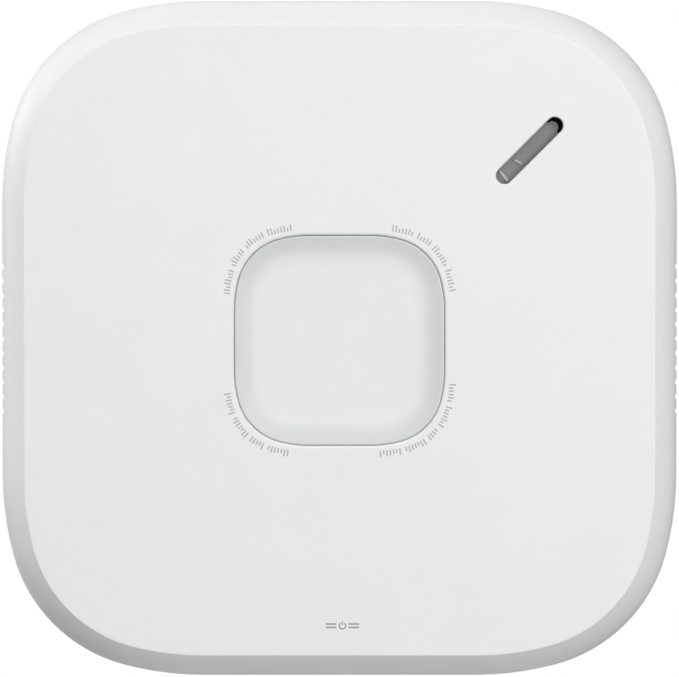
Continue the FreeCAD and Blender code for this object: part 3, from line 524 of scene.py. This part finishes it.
def paper(name, colour):
    made = Shader(name, colour, 0.85)
    made.tint(made.ramp(made.noise(1500, 6, 0.7), 0.0, 0.5, 0.4, 0.7), scaled(colour, 0.93))
    made.rough(made.noise(900), 0.75, 0.95)
    made.bump(made.noise(3500, 5, 0.7), 0.00002, 0.7)
    made.worn_edges(0.0006, scaled(colour, 0.8), 0.6)
    return made


FINISHES = {
    "cover_white": moulded("cover_white", (0.80, 0.80, 0.80), 0.52),
    # The button's finish carries painted shade round its rim and down its dish.
    "button_white": opal("button_white", (0.772, 0.778, 0.772)),
    "housing_white": moulded("housing_white", (0.76, 0.76, 0.745), 0.56, 1.2),
    "plate_white": moulded("plate_white", (0.78, 0.78, 0.765), 0.58, 1.2),
    "door_white": moulded("door_white", (0.77, 0.77, 0.755), 0.55, 1.2),
    "cap_white": moulded("cap_white", (0.8, 0.8, 0.8), 0.5),
    "plunger_cream": moulded("plunger_cream", (0.72, 0.68, 0.56), 0.4),
    "baffle_black": moulded("baffle_black", (0.045, 0.045, 0.047), 0.6),
    "switch_black": moulded("switch_black", (0.03, 0.03, 0.032), 0.5),
    "chamber_black": moulded("chamber_black", (0.016, 0.016, 0.017), 0.75, 2.0),
    "horn_grey": moulded("horn_grey", (0.235, 0.235, 0.23), 0.6),
    "gasket_black": foam("gasket_black", (0.03, 0.03, 0.03)),
    "pad_foam": foam("pad_foam", (0.07, 0.07, 0.075), 1300),
    "screw_steel": metal("screw_steel", (0.62, 0.62, 0.63), 0.32),
    "spring_steel": metal("spring_steel", (0.58, 0.58, 0.6), 0.3),
    "contact_nickel": metal("contact_nickel", (0.7, 0.68, 0.63), 0.3, (1, 1, 8)),
    "shield_tin": metal("shield_tin", (0.72, 0.72, 0.7), 0.34, (6, 1, 1)),
    "screen_steel": metal("screen_steel", (0.4, 0.4, 0.41), 0.4),
    "can_metal": metal("can_metal", (0.6, 0.6, 0.6), 0.28, (1, 12, 1)),
    "brass": metal("brass", (0.72, 0.53, 0.22), 0.3, (1, 1, 5)),
    "pin_gold": metal("pin_gold", (0.8, 0.6, 0.25), 0.22),
    "board_green": laminate("board_green", (0.012, 0.09, 0.04), (0.03, 0.17, 0.075)),
    "radio_board": laminate("radio_board", (0.01, 0.03, 0.11), (0.025, 0.06, 0.19)),
    "chip_black": epoxy("chip_black", (0.022, 0.022, 0.024)),
    "bead_epoxy": epoxy("bead_epoxy", (0.035, 0.03, 0.03), 0.3),
    "small_parts": epoxy("small_parts", (0.2, 0.14, 0.08), 0.5),
    "coil_grey": epoxy("coil_grey", (0.07, 0.07, 0.072), 0.6),
    "can_sleeve": epoxy("can_sleeve", (0.02, 0.025, 0.045), 0.28),
    "ceramic_cream": epoxy("ceramic_cream", (0.66, 0.62, 0.54), 0.7),
    "led_clear": clear("led_clear", (0.9, 0.86, 0.6), 0.35, 0.2),
    "pipe_clear": clear("pipe_clear", (0.9, 0.93, 0.94), 0.9, 0.08),
    "guide_milk": clear("guide_milk", (0.88, 0.88, 0.88), 0.25, 0.35),
    "optic_clear": clear("optic_clear", (0.7, 0.76, 0.86), 0.8, 0.1),
    "optic_dark": clear("optic_dark", (0.03, 0.025, 0.05), 0.3, 0.12),
    "cell_wrap": cell_wrap(),
    "label_blank": paper("label_blank", (0.82, 0.82, 0.8)),
}
# Pale grey for painted highlights on the horn's ribs.
HIGHLIGHT_GREY = moulded("highlight_grey", (0.5, 0.5, 0.49), 0.5)
LIGHT_INK = ink("light_ink", (0.44, 0.44, 0.44))
DARK_INK = ink("dark_ink", (0.30, 0.30, 0.31))
COPPER = lacquered_wire("winding_copper", (0.5, 0.2, 0.1))
TIN = metal("tinned_ends", (0.68, 0.67, 0.65), 0.35)
# Near-black foam for the sheet of painted shade behind the horn's duct.
DUCT_SHADE_BLACK = foam("duct_shade_black", (0.012, 0.012, 0.012), 1600)


def paint(piece, shader):
    slots = piece.data.materials
    if slots:
        for i in range(len(slots)):
            slots[i] = shader.material
    else:
        slots.append(shader.material)


# ---------------------------------------------------------------- front cover
GRIP_COUNT, GRIP_PITCH, GRIP_WIDTH = 11, 3.0 * MM, 1.2 * MM
GRIP_DEPTH, GRIP_BACK, GRIP_FRONT = 0.45 * MM, COVER_FRONT - 21.4 * MM, COVER_FRONT - 6.6 * MM
SIDE_STOPS = (20 * MM, 24 * MM, 27.5 * MM)    # points beyond the grooves, along the straight side


def grip_stops():
    """Places along the side where the grooves' flanks need points, and a few beyond them."""
    stops = [-place for place in reversed(SIDE_STOPS)]
    shares = (-0.62, -0.5, -0.36, -0.2, 0, 0.2, 0.36, 0.5, 0.62)
    for place in range(GRIP_COUNT):
        centre = (place - GRIP_COUNT // 2) * GRIP_PITCH
        stops += [centre + GRIP_WIDTH * share for share in shares]
    return stops + list(SIDE_STOPS)


def grip_sink(v, level):
    """How deep the side is cut at a place: rounded grooves that run out at both ends."""
    place = round(v / GRIP_PITCH)
    if abs(place) > GRIP_COUNT // 2:
        return 0.0
    across = (v - place * GRIP_PITCH) / (GRIP_WIDTH / 2)
    past = max(GRIP_BACK - level, level - GRIP_FRONT, 0) / (GRIP_WIDTH / 2)
    distance = math.hypot(across, past)
    return GRIP_DEPTH * (1 - distance ** 2) ** 0.5 if distance < 1 else 0.0


def cover_profile():
    """(inset, level) of the cover's skin, from its back rim over the band to the flat face."""
    profile = [(RIM_EDGE * (1 - math.sin(a)), COVER_BACK + RIM_EDGE * (1 - math.cos(a)))
               for a in spread(0, math.pi / 2, 5)]
    # Rings just behind the grooves' ends keep their shading off the flat side behind them.
    ring_shares = (0.8, 0.6, 0.52, 0.48, 0.43, 0.35, 0.25, 0.12, 0)
    side = [GRIP_BACK - GRIP_WIDTH * share for share in ring_shares]
    side += spread(GRIP_BACK + GRIP_WIDTH, BAND_START, 6)
    profile += [(0.0, z) for z in side]
    reach = COVER_FRONT - BAND_START
    edge_angle = math.asin((reach - FACE_EDGE * 0.6) / BAND_RADIUS)
    for a in spread(0, edge_angle, 26)[1:]:
        profile.append((BAND_RADIUS * (1 - math.cos(a)), BAND_START + BAND_RADIUS * math.sin(a)))
    last_inset, last_level = profile[-1]
    edge_width, even_share, land = FACE_EDGE * 0.95, 0.45, 0.3 * MM
    for step in (0.25, 0.5, 0.75, 1.0):
        rise, run = math.sin(step * math.pi / 2), 1 - math.cos(step * math.pi / 2)
        profile.append((last_inset + edge_width * (even_share * step + (1 - even_share) * run),
                        last_level + (COVER_FRONT - last_level) * rise))
    profile.append((profile[-1][0] + land, COVER_FRONT))
    return profile


def cover_shell():
    """The whole cover as one closed skin: outside, inside, button aperture and horn slot."""
    mesh = bmesh.new()
    stops = grip_stops()
    skin = []
    for inset, z in cover_profile():
        half = COVER_HALF - inset
        points = []
        for u, v in soft_square(half, COVER_CORNER - inset * CORNER_SHARE, side_stops=stops):
            cut = grip_sink(v, z) - inset if abs(abs(u) - half) < 1e-7 else 0.0
            points.append((u - math.copysign(max(0.0, cut), u), v))
        skin.append(ring(mesh, points, z))
    loft(mesh, skin)

    collar = []
    for grow, z in ((LIP + 0.25 * MM, COVER_FRONT), (LIP, COVER_FRONT),
                    (LIP * 0.62, COVER_FRONT - LIP * 0.12), (LIP * 0.28, COVER_FRONT - LIP * 0.42),
                    (0, COVER_FRONT - LIP), (0, COVER_FRONT - LIP - 0.3 * MM), (0, COLLAR_BACK),
                    (COLLAR_WALL, COLLAR_BACK), (COLLAR_WALL, CEILING)):
        collar.append(ring(mesh, soft_square(APERTURE_HALF + grow, APERTURE_CORNER + grow), z))
    loft(mesh, collar)

    edge, land = SLOT_EDGE, 0.15 * MM
    slot = []
    for grow, z in ((edge + 0.2 * MM, COVER_FRONT), (edge, COVER_FRONT),
                    (edge * 0.3, COVER_FRONT - edge * 0.3), (0, COVER_FRONT - edge),
                    (0, CEILING + land), (0, CEILING)):
        outline = stadium(HORN, SLOT_LENGTH + 2 * grow, SLOT_WIDTH + 2 * grow, SLOT_TURN)
        slot.append(ring(mesh, outline, z))
    loft(mesh, slot)
    fill(mesh, skin[-1], collar[0], slot[0])

    wall, wall_corner = COVER_HALF - COVER_WALL, COVER_CORNER - COVER_WALL
    inside = []
    for half, corner, z in ((wall + 0.1 * MM, wall_corner, COVER_BACK),
                            (wall, wall_corner, COVER_BACK + 0.2 * MM),
                            (wall, wall_corner, CEILING_START),
                            (CEILING_HALF, CEILING_CORNER, CEILING_START),
                            (CEILING_HALF, CEILING_CORNER, CEILING)):
        inside.append(ring(mesh, soft_square(half, corner, side_stops=stops), z))
    loft(mesh, inside)
    bridge(mesh, skin[0], inside[0])
    fill(mesh, inside[-1], collar[-1], slot[-1])
    return finished(mesh, "cover_shell", "cover_white", "head", "front_cover")


def cover_bosses():
    """The cover's four screw bosses, as tubes with a fillet at the root."""
    mesh = bmesh.new()
    for low, high in islands("housing_screws"):
        centre = ((low[0] + high[0]) / 2, (low[2] + high[2]) / 2)
        outer = [ring(mesh, disc(centre, radius * MM), z) for radius, z in
                 ((3.25, COVER_BACK), (3.4, COVER_BACK + 0.15 * MM), (3.4, CEILING - 1.5 * MM),
                  (3.7, CEILING - 0.6 * MM), (4.4, CEILING - 0.05 * MM),
                  (4.5, CEILING + 0.05 * MM))]
        bore = [ring(mesh, disc(centre, radius * MM), z) for radius, z in
                ((1.6, COVER_BACK), (1.45, COVER_BACK + 0.2 * MM), (1.45, COVER_BACK + 12 * MM))]
        loft(mesh, outer)
        loft(mesh, bore)
        bridge(mesh, outer[0], bore[0])
        mesh.faces.new(bore[-1])
        mesh.faces.new(outer[-1])
    return finished(mesh, "cover_bosses", "cover_white", "head")


# ---------------------------------------------------------------- test button
def button_cap():
    """The button: flange, side, a small round edge, a dish that eases out to its floor, hollow."""
    mesh = bmesh.new()
    outline_steps = (6, 18, 6)

    def level_ring(half, corner, z):
        return ring(mesh, soft_square(half, corner, outline_steps), z)

    top = BUTTON_BACK + FLANGE_HEIGHT
    small = 0.1 * MM
    rings = [level_ring(FLANGE_HALF + grow, FLANGE_CORNER + grow, z) for grow, z in
             ((-small, BUTTON_BACK), (0, BUTTON_BACK + small), (0, top - small), (-small, top))]
    rings.append(level_ring(BUTTON_HALF + small, BUTTON_CORNER + small, top))
    rings.append(level_ring(BUTTON_HALF, BUTTON_CORNER, top + small))
    rings.append(level_ring(BUTTON_HALF, BUTTON_CORNER, BUTTON_FRONT - BUTTON_EDGE - 0.5 * MM))
    for a in spread(0, math.pi / 2, 6):
        inset = BUTTON_EDGE * (1 - math.cos(a))
        level = BUTTON_FRONT - BUTTON_EDGE * (1 - math.sin(a))
        rings.append(level_ring(BUTTON_HALF - inset, BUTTON_CORNER - inset, level))
    start, corner = BUTTON_HALF - BUTTON_EDGE, BUTTON_CORNER - BUTTON_EDGE
    for share in spread(0, 1, 26)[1:]:
        inset, drop = DISH_SLOPE * share, DISH_DEPTH * SLOPE_SHARE * dish(share)
        rings.append(level_ring(start - inset, corner - inset, BUTTON_FRONT - drop))
    for share in spread(1, 0, 14)[1:-1]:
        drop = DISH_DEPTH * (SLOPE_SHARE + (1 - SLOPE_SHARE) * (1 - share ** 2))
        rings.append(level_ring((start - DISH_SLOPE) * share, (corner - DISH_SLOPE) * share,
                                BUTTON_FRONT - drop))
    loft(mesh, rings)
    floor_level = BUTTON_FRONT - DISH_DEPTH
    middle = mesh.verts.new(at(0, 0, floor_level))
    for i, vertex in enumerate(rings[-1]):
        mesh.faces.new((vertex, rings[-1][(i + 1) % len(rings[-1])], middle))

    hollow, hollow_corner = BUTTON_HALF - SKIRT_WALL, BUTTON_CORNER - SKIRT_WALL
    ceiling, chamfer = floor_level - BUTTON_WALL, 0.6 * MM
    inner = [level_ring(hollow, hollow_corner, BUTTON_BACK),
             level_ring(hollow, hollow_corner, ceiling - chamfer),
             level_ring(hollow - chamfer, hollow_corner - chamfer, ceiling)]
    loft(mesh, inner)
    bridge(mesh, rings[0], inner[0])
    mesh.faces.new(inner[-1])
    return finished(mesh, "button_cap", "button_white", "button", "test_button")


def dish(share):
    """How deep the dish is along its slope: steepest at the rim, easing out to the floor."""
    return math.sin(share * math.pi / 2)


# ---------------------------------------------------------------- printed marks
PRINT = 0.015 * MM


def slab(mesh, corners, level):
    """A thin closed prism of ink over a flat outline."""
    low, high = ring(mesh, corners, level), ring(mesh, corners, level + PRINT)
    bridge(mesh, low, high)
    mesh.faces.new(high)
    mesh.faces.new(list(reversed(low)))


def printed_ticks():
    """Groups of short ticks on arcs round the button's corners, in place of small print."""
    mesh = bmesh.new()
    away, rounder, fine_steps = 1.8 * MM, 0.55 * MM, (20, 60, 20)
    path = soft_square(BUTTON_HALF + away, BUTTON_CORNER + rounder, fine_steps)
    path = [Vector(point) for point in path]
    lengths = [0.0]
    for first, second in zip(path, path[1:] + path[:1]):
        lengths.append(lengths[-1] + (second - first).length)

    def along(distance):
        """The point that far along the outline, and the outline's direction there."""
        distance %= lengths[-1]
        i = max(k for k in range(len(path)) if lengths[k] <= distance)
        first, second = path[i], path[(i + 1) % len(path)]
        share = (distance - lengths[i]) / max(lengths[i + 1] - lengths[i], 1e-9)
        return first.lerp(second, share), (second - first).normalized()

    def nearest(u, v):
        point = Vector((u, v)) * MM
        return lengths[min(range(len(path)), key=lambda i: (path[i] - point).length)]

    step, tall, wide = 0.68 * MM, 1.4 * MM, 0.32 * MM
    heights = (1.0, 0.62, 0.82, 0.62, 1.0, 0.72, 0.9)
    arcs = (((23.9, 10.3), (11.1, 23.0), 4), ((-9.9, 23.2), (-23.4, 9.6), 4),
            ((-23.4, -11.1), (-10.9, -23.9), 4), ((8.4, -23.9), (23.9, -9.1), 5))
    for start, end, groups in arcs:
        first, last = nearest(*start), nearest(*end)
        if last < first:
            last += lengths[-1]
        count = round((last - first) / step)
        gaps = [round(count * (k + 1) / groups + (k % 2)) for k in range(groups - 1)]
        for place in range(count + 1):
            if place in gaps:
                continue
            point, direction = along(first + (last - first) * place / count)
            outward = Vector((direction.y, -direction.x))
            height = tall * heights[(place * 3) % len(heights)]
            foot, head = point - outward * tall / 2, point - outward * (tall / 2 - height)
            half = direction * wide / 2
            slab(mesh, [foot - half, foot + half, head + half, head - half], COVER_FRONT)
    return finished(mesh, "printed_ticks", "cover_white", "head")


def printed_power_symbol():
    """A plain power symbol between two dashes, over the light pipe."""
    mesh = bmesh.new()
    radius, line = 0.66 * MM, 0.27 * MM
    gap = math.radians(38)
    angles = spread(math.pi / 2 + gap, math.pi * 5 / 2 - gap, 30)

    def arc(reach):
        return [(PIPE[0] + reach * math.cos(a), PIPE[1] + reach * math.sin(a)) for a in angles]
    outer, inner = arc(radius + line / 2), arc(radius - line / 2)
    for i in range(len(angles) - 1):
        slab(mesh, [outer[i], outer[i + 1], inner[i + 1], inner[i]], COVER_FRONT)
    dash_long, dash_wide, dash_place, dash_lift = 2.2 * MM, 0.32 * MM, 2.35 * MM, 0.35 * MM
    stroke = (PIPE[0], PIPE[1] + radius * 0.75, line, radius * 1.1)
    dashes = [(PIPE[0] + side * dash_place, PIPE[1] + lift * dash_lift, dash_long, dash_wide)
              for side in (-1, 1) for lift in (-1, 1)]
    for u, v, width, height in [stroke] + dashes:
        slab(mesh, [(u - width / 2, v - height / 2), (u + width / 2, v - height / 2),
                    (u + width / 2, v + height / 2), (u - width / 2, v + height / 2)],
             COVER_FRONT)
    return finished(mesh, "printed_power_symbol", "cover_white", "head")


# ---------------------------------------------------------------- springs, screen and winding
def springs(name, node, axis, wire, turns):
    """Coils of wire in place of a node's plain tubes."""
    mesh = bmesh.new()
    for low, high in islands(node):
        tube(mesh, helix(low, high, axis, wire / 2, turns), wire / 2)
    return finished(mesh, name, "spring_steel", "head", node)


def screen_mesh():
    """The insect screen as crossed wires."""
    mesh = bmesh.new()
    low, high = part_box("insect_screen")
    centre, radius = ((low[0] + high[0]) / 2, (low[2] + high[2]) / 2), (high[0] - low[0]) / 2
    wire = 0.11 * MM
    back, front = -high[1] + wire, -low[1] - wire
    uprights, hoops, hoop_radius = 88, 9, radius - 2.4 * wire
    for u, v in disc(centre, radius - wire, uprights):
        tube(mesh, [at(u, v, back), at(u, v, front)], wire, 5)
    for level in spread(back, front, hoops):
        tube(mesh, [at(u, v, level) for u, v in disc(centre, hoop_radius, 66)], wire, 5, True)
    return finished(mesh, "screen_mesh", "screen_steel", "head", "insect_screen")


def transformer_winding():
    """Turns of wire side by side between the horn transformer's flanges."""
    mesh = bmesh.new()
    low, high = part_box("horn_transformer")
    centre = ((low[0] + high[0]) / 2, (low[2] + high[2]) / 2)
    flange, turns, wound, core = 1.5 * MM, 18, 4.5 * MM, 4.45 * MM
    back, front = -high[1] + flange, -low[1] - flange
    wire = (front - back) / turns
    for place in range(turns):
        level = back + (place + 0.5) * wire
        tube(mesh, [at(u, v, level) for u, v in disc(centre, wound, 40)], wire / 2, 6, True)
    skin = [ring(mesh, disc(centre, core, 40), level) for level in (back, front)]
    loft(mesh, skin)
    return finished(mesh, "transformer_winding", "coil_grey", "head")


def tinned_ends():
    """Solderable ends on the small parts."""
    mesh = bmesh.new()
    skin, band = 0.03 * MM, 0.45 * MM
    for low, high in islands("passives"):
        for start, end in ((low[2] - skin, low[2] + band), (high[2] - band, high[2] + skin)):
            corners = [(low[0] - skin, start), (high[0] + skin, start),
                       (high[0] + skin, end), (low[0] - skin, end)]
            rings = [ring(mesh, corners, level) for level in (-high[1], -low[1] + skin)]
            bridge(mesh, *rings)
            mesh.faces.new(rings[0])
            mesh.faces.new(rings[1])
    return finished(mesh, "tinned_ends", "small_parts", "head")


def on_horn(along, across):
    """A place on the horn's front, measured from the slot's middle along and across the slot."""
    cos, sin = math.cos(SLOT_TURN), math.sin(SLOT_TURN)
    return HORN[0] + along * cos - across * sin, HORN[1] + along * sin + across * cos


def duct_shade_sheet():
    """A near-black sheet inside the horn, which closes its duct from behind: painted shade in the
    duct's opening.
    """
    mesh = bmesh.new()
    behind, along = 2.2 * MM, 7.4 * MM
    front = -HORN_HIGH[1] - behind
    centre = on_horn(along, 0)
    rings = [ring(mesh, disc(centre, radius * MM, 32), front + z * MM)
             for radius, z in ((3.1, -0.25), (3.2, -0.1), (3.2, 0.0), (2.9, 0.02))]
    loft(mesh, rings)
    mesh.faces.new(rings[0])
    mesh.faces.new(rings[-1])
    return finished(mesh, "duct_shade_sheet", "gasket_black", "head")


def horn_highlight_ribs():
    """Two rounded ribs across the slot's floor, both a little askew, coloured pale as painted
    highlights.
    """
    mesh = bmesh.new()
    front = -HORN_HIGH[1]
    for start, end, radius, lift in (((-3.54, 0.77), (-3.07, -0.86), 0.25, 0.22),
                                     ((-7.3, 1.55), (-7.65, -1.45), 0.34, 0.08)):
        path = [on_horn((start[0] + (end[0] - start[0]) * share) * MM,
                        (start[1] + (end[1] - start[1]) * share) * MM) for share in spread(0, 1, 6)]
        tube(mesh, [at(*place, front + lift * MM) for place in path], radius * MM, 12)
    return finished(mesh, "horn_highlight_ribs", "horn_grey", "head")


# ---------------------------------------------------------------- the pieces and their finishes
PIECES = [
    (cover_shell(), FINISHES["cover_white"]),
    (sharpen(cover_bosses()), FINISHES["cover_white"]),
    (button_cap(), FINISHES["button_white"]),
    (sharpen(printed_ticks()), LIGHT_INK),
    (sharpen(printed_power_symbol()), DARK_INK),
    (springs("battery_coils", "battery_springs", 2, 0.7 * MM, 4.5), FINISHES["spring_steel"]),
    (springs("horn_contact_coils", "horn_contact_springs", 1, 0.3 * MM, 7),
     FINISHES["spring_steel"]),
    (screen_mesh(), FINISHES["screen_steel"]),
    # A near-black sheet behind the horn's duct, as painted shade.
    (sharpen(duct_shade_sheet()), DUCT_SHADE_BLACK),
    # The horn's ribs are pale grey as painted highlight.
    (horn_highlight_ribs(), HIGHLIGHT_GREY),
    (transformer_winding(), COPPER),
    (sharpen(tinned_ends()), TIN),
]
button_coils = springs("button_coils", "button_springs", 1, 0.4 * MM, 7)
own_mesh(button_coils)
PIECES.append((button_coils, FINISHES["spring_steel"]))
for piece, shader in PIECES:
    paint(piece, shader)

SLOTS = {part["node"]: part["material_slot"] for part in frame["record"]["subparts"]}
for name, node in frame["nodes"].items():
    paint(node, FINISHES[SLOTS[name]])


# ---------------------------------------------------------------- floor, light and camera
def floor():
    """A pale floor below the object: it glows a little, and lamps under it shine through."""
    mesh = bmesh.new()
    size, level = 2.3, -0.35
    corners = ((-1, -1), (1, -1), (1, 1), (-1, 1))
    mesh.faces.new([mesh.verts.new((x * size, y * size, level)) for x, y in corners])
    data = bpy.data.meshes.new("floor")
    mesh.to_mesh(data)
    mesh.free()
    plane = bpy.data.objects.new("floor", data)
    bpy.context.scene.collection.objects.link(plane)
    made = Shader("floor", (0.3, 0.3, 0.3), 0.8, Emission_Strength=0.55)
    made.tint(made.ramp(made.noise(3, 3), 0.0, 0.3, 0.4, 0.6), (0.27, 0.27, 0.27))
    made.rough(made.noise(8), 0.7, 0.9)
    made.bump(made.noise(60, 4), 0.0002, 0.3)
    paint(plane, made)
    plane.visible_diffuse = False
    plane.visible_glossy = False
    plane.visible_shadow = False


def softbox(name, azimuth, elevation, power, distance=1.2, size=0.7):
    """A square light aimed at the object. Azimuth 0 is in front and 90 to the right."""
    turn, rise = math.radians(azimuth), math.radians(elevation)
    toward = Vector((math.sin(turn) * math.cos(rise), -math.cos(turn) * math.cos(rise),
                     math.sin(rise)))
    lamp = bpy.data.lights.new(name, "AREA")
    lamp.shape = "RECTANGLE"
    lamp.size = lamp.size_y = size
    lamp.energy = power
    holder = bpy.data.objects.new(name, lamp)
    holder.location = toward * distance
    holder.rotation_euler = (-toward).to_track_quat("-Z", "Y").to_euler()
    holder.visible_camera = False
    bpy.context.scene.collection.objects.link(holder)


def studio(backdrop, fill_light):
    """A white backdrop all round, which lights the object more softly than it looks."""
    made = bpy.data.worlds.new("studio")
    made.use_nodes = True
    nodes, links = made.node_tree.nodes, made.node_tree.links
    seen = nodes["Background"]
    seen.inputs["Color"].default_value = (1, 1, 1, 1)
    seen.inputs["Strength"].default_value = backdrop
    soft = nodes.new("ShaderNodeBackground")
    soft.inputs["Color"].default_value = (1, 1, 1, 1)
    soft.inputs["Strength"].default_value = fill_light
    choose = nodes.new("ShaderNodeMixShader")
    links.new(nodes.new("ShaderNodeLightPath").outputs["Is Camera Ray"], choose.inputs[0])
    links.new(soft.outputs[0], choose.inputs[1])
    links.new(seen.outputs[0], choose.inputs[2])
    links.new(choose.outputs[0], nodes["World Output"].inputs["Surface"])
    bpy.context.scene.world = made


def camera(distance=1.4, elevation=2.3, filled=0.9925):
    """In front and a little above; the cover's width fills that share of the picture."""
    rise = math.radians(elevation)
    lens = bpy.data.cameras.new("camera")
    lens.sensor_width = 36.0
    lens.lens = lens.sensor_width * filled * distance / (2 * COVER_HALF)
    lens.clip_start = 0.01
    holder = bpy.data.objects.new("camera", lens)
    centre = Vector((0, -BAND_START, 0))
    holder.location = centre + Vector((0, -math.cos(rise), math.sin(rise))) * distance
    holder.rotation_euler = (centre - holder.location).to_track_quat("-Z", "Y").to_euler()
    bpy.context.scene.collection.objects.link(holder)
    bpy.context.scene.camera = holder


floor()
studio(1.0, 0.12)
softbox("key", 30, 15, 6.6)
softbox("front", 0, 15, 2.0)
softbox("above", 0, 50, 4.7)
softbox("above_left", -90, 50, 2.9)
softbox("above_behind", 180, 50, 2.8)
softbox("left", -90, 15, 2.8)
softbox("left_behind", -120, 15, 6.7)
softbox("right_behind", 120, 15, 2.0)
softbox("low_right", 120, -20, 1.7)
softbox("low_front", 0, -20, 2.8)
softbox("below", 0, -85, 1.5)
softbox("below_behind", 180, -50, 2.4)
camera()
bpy.context.scene.view_settings.view_transform = "Standard"
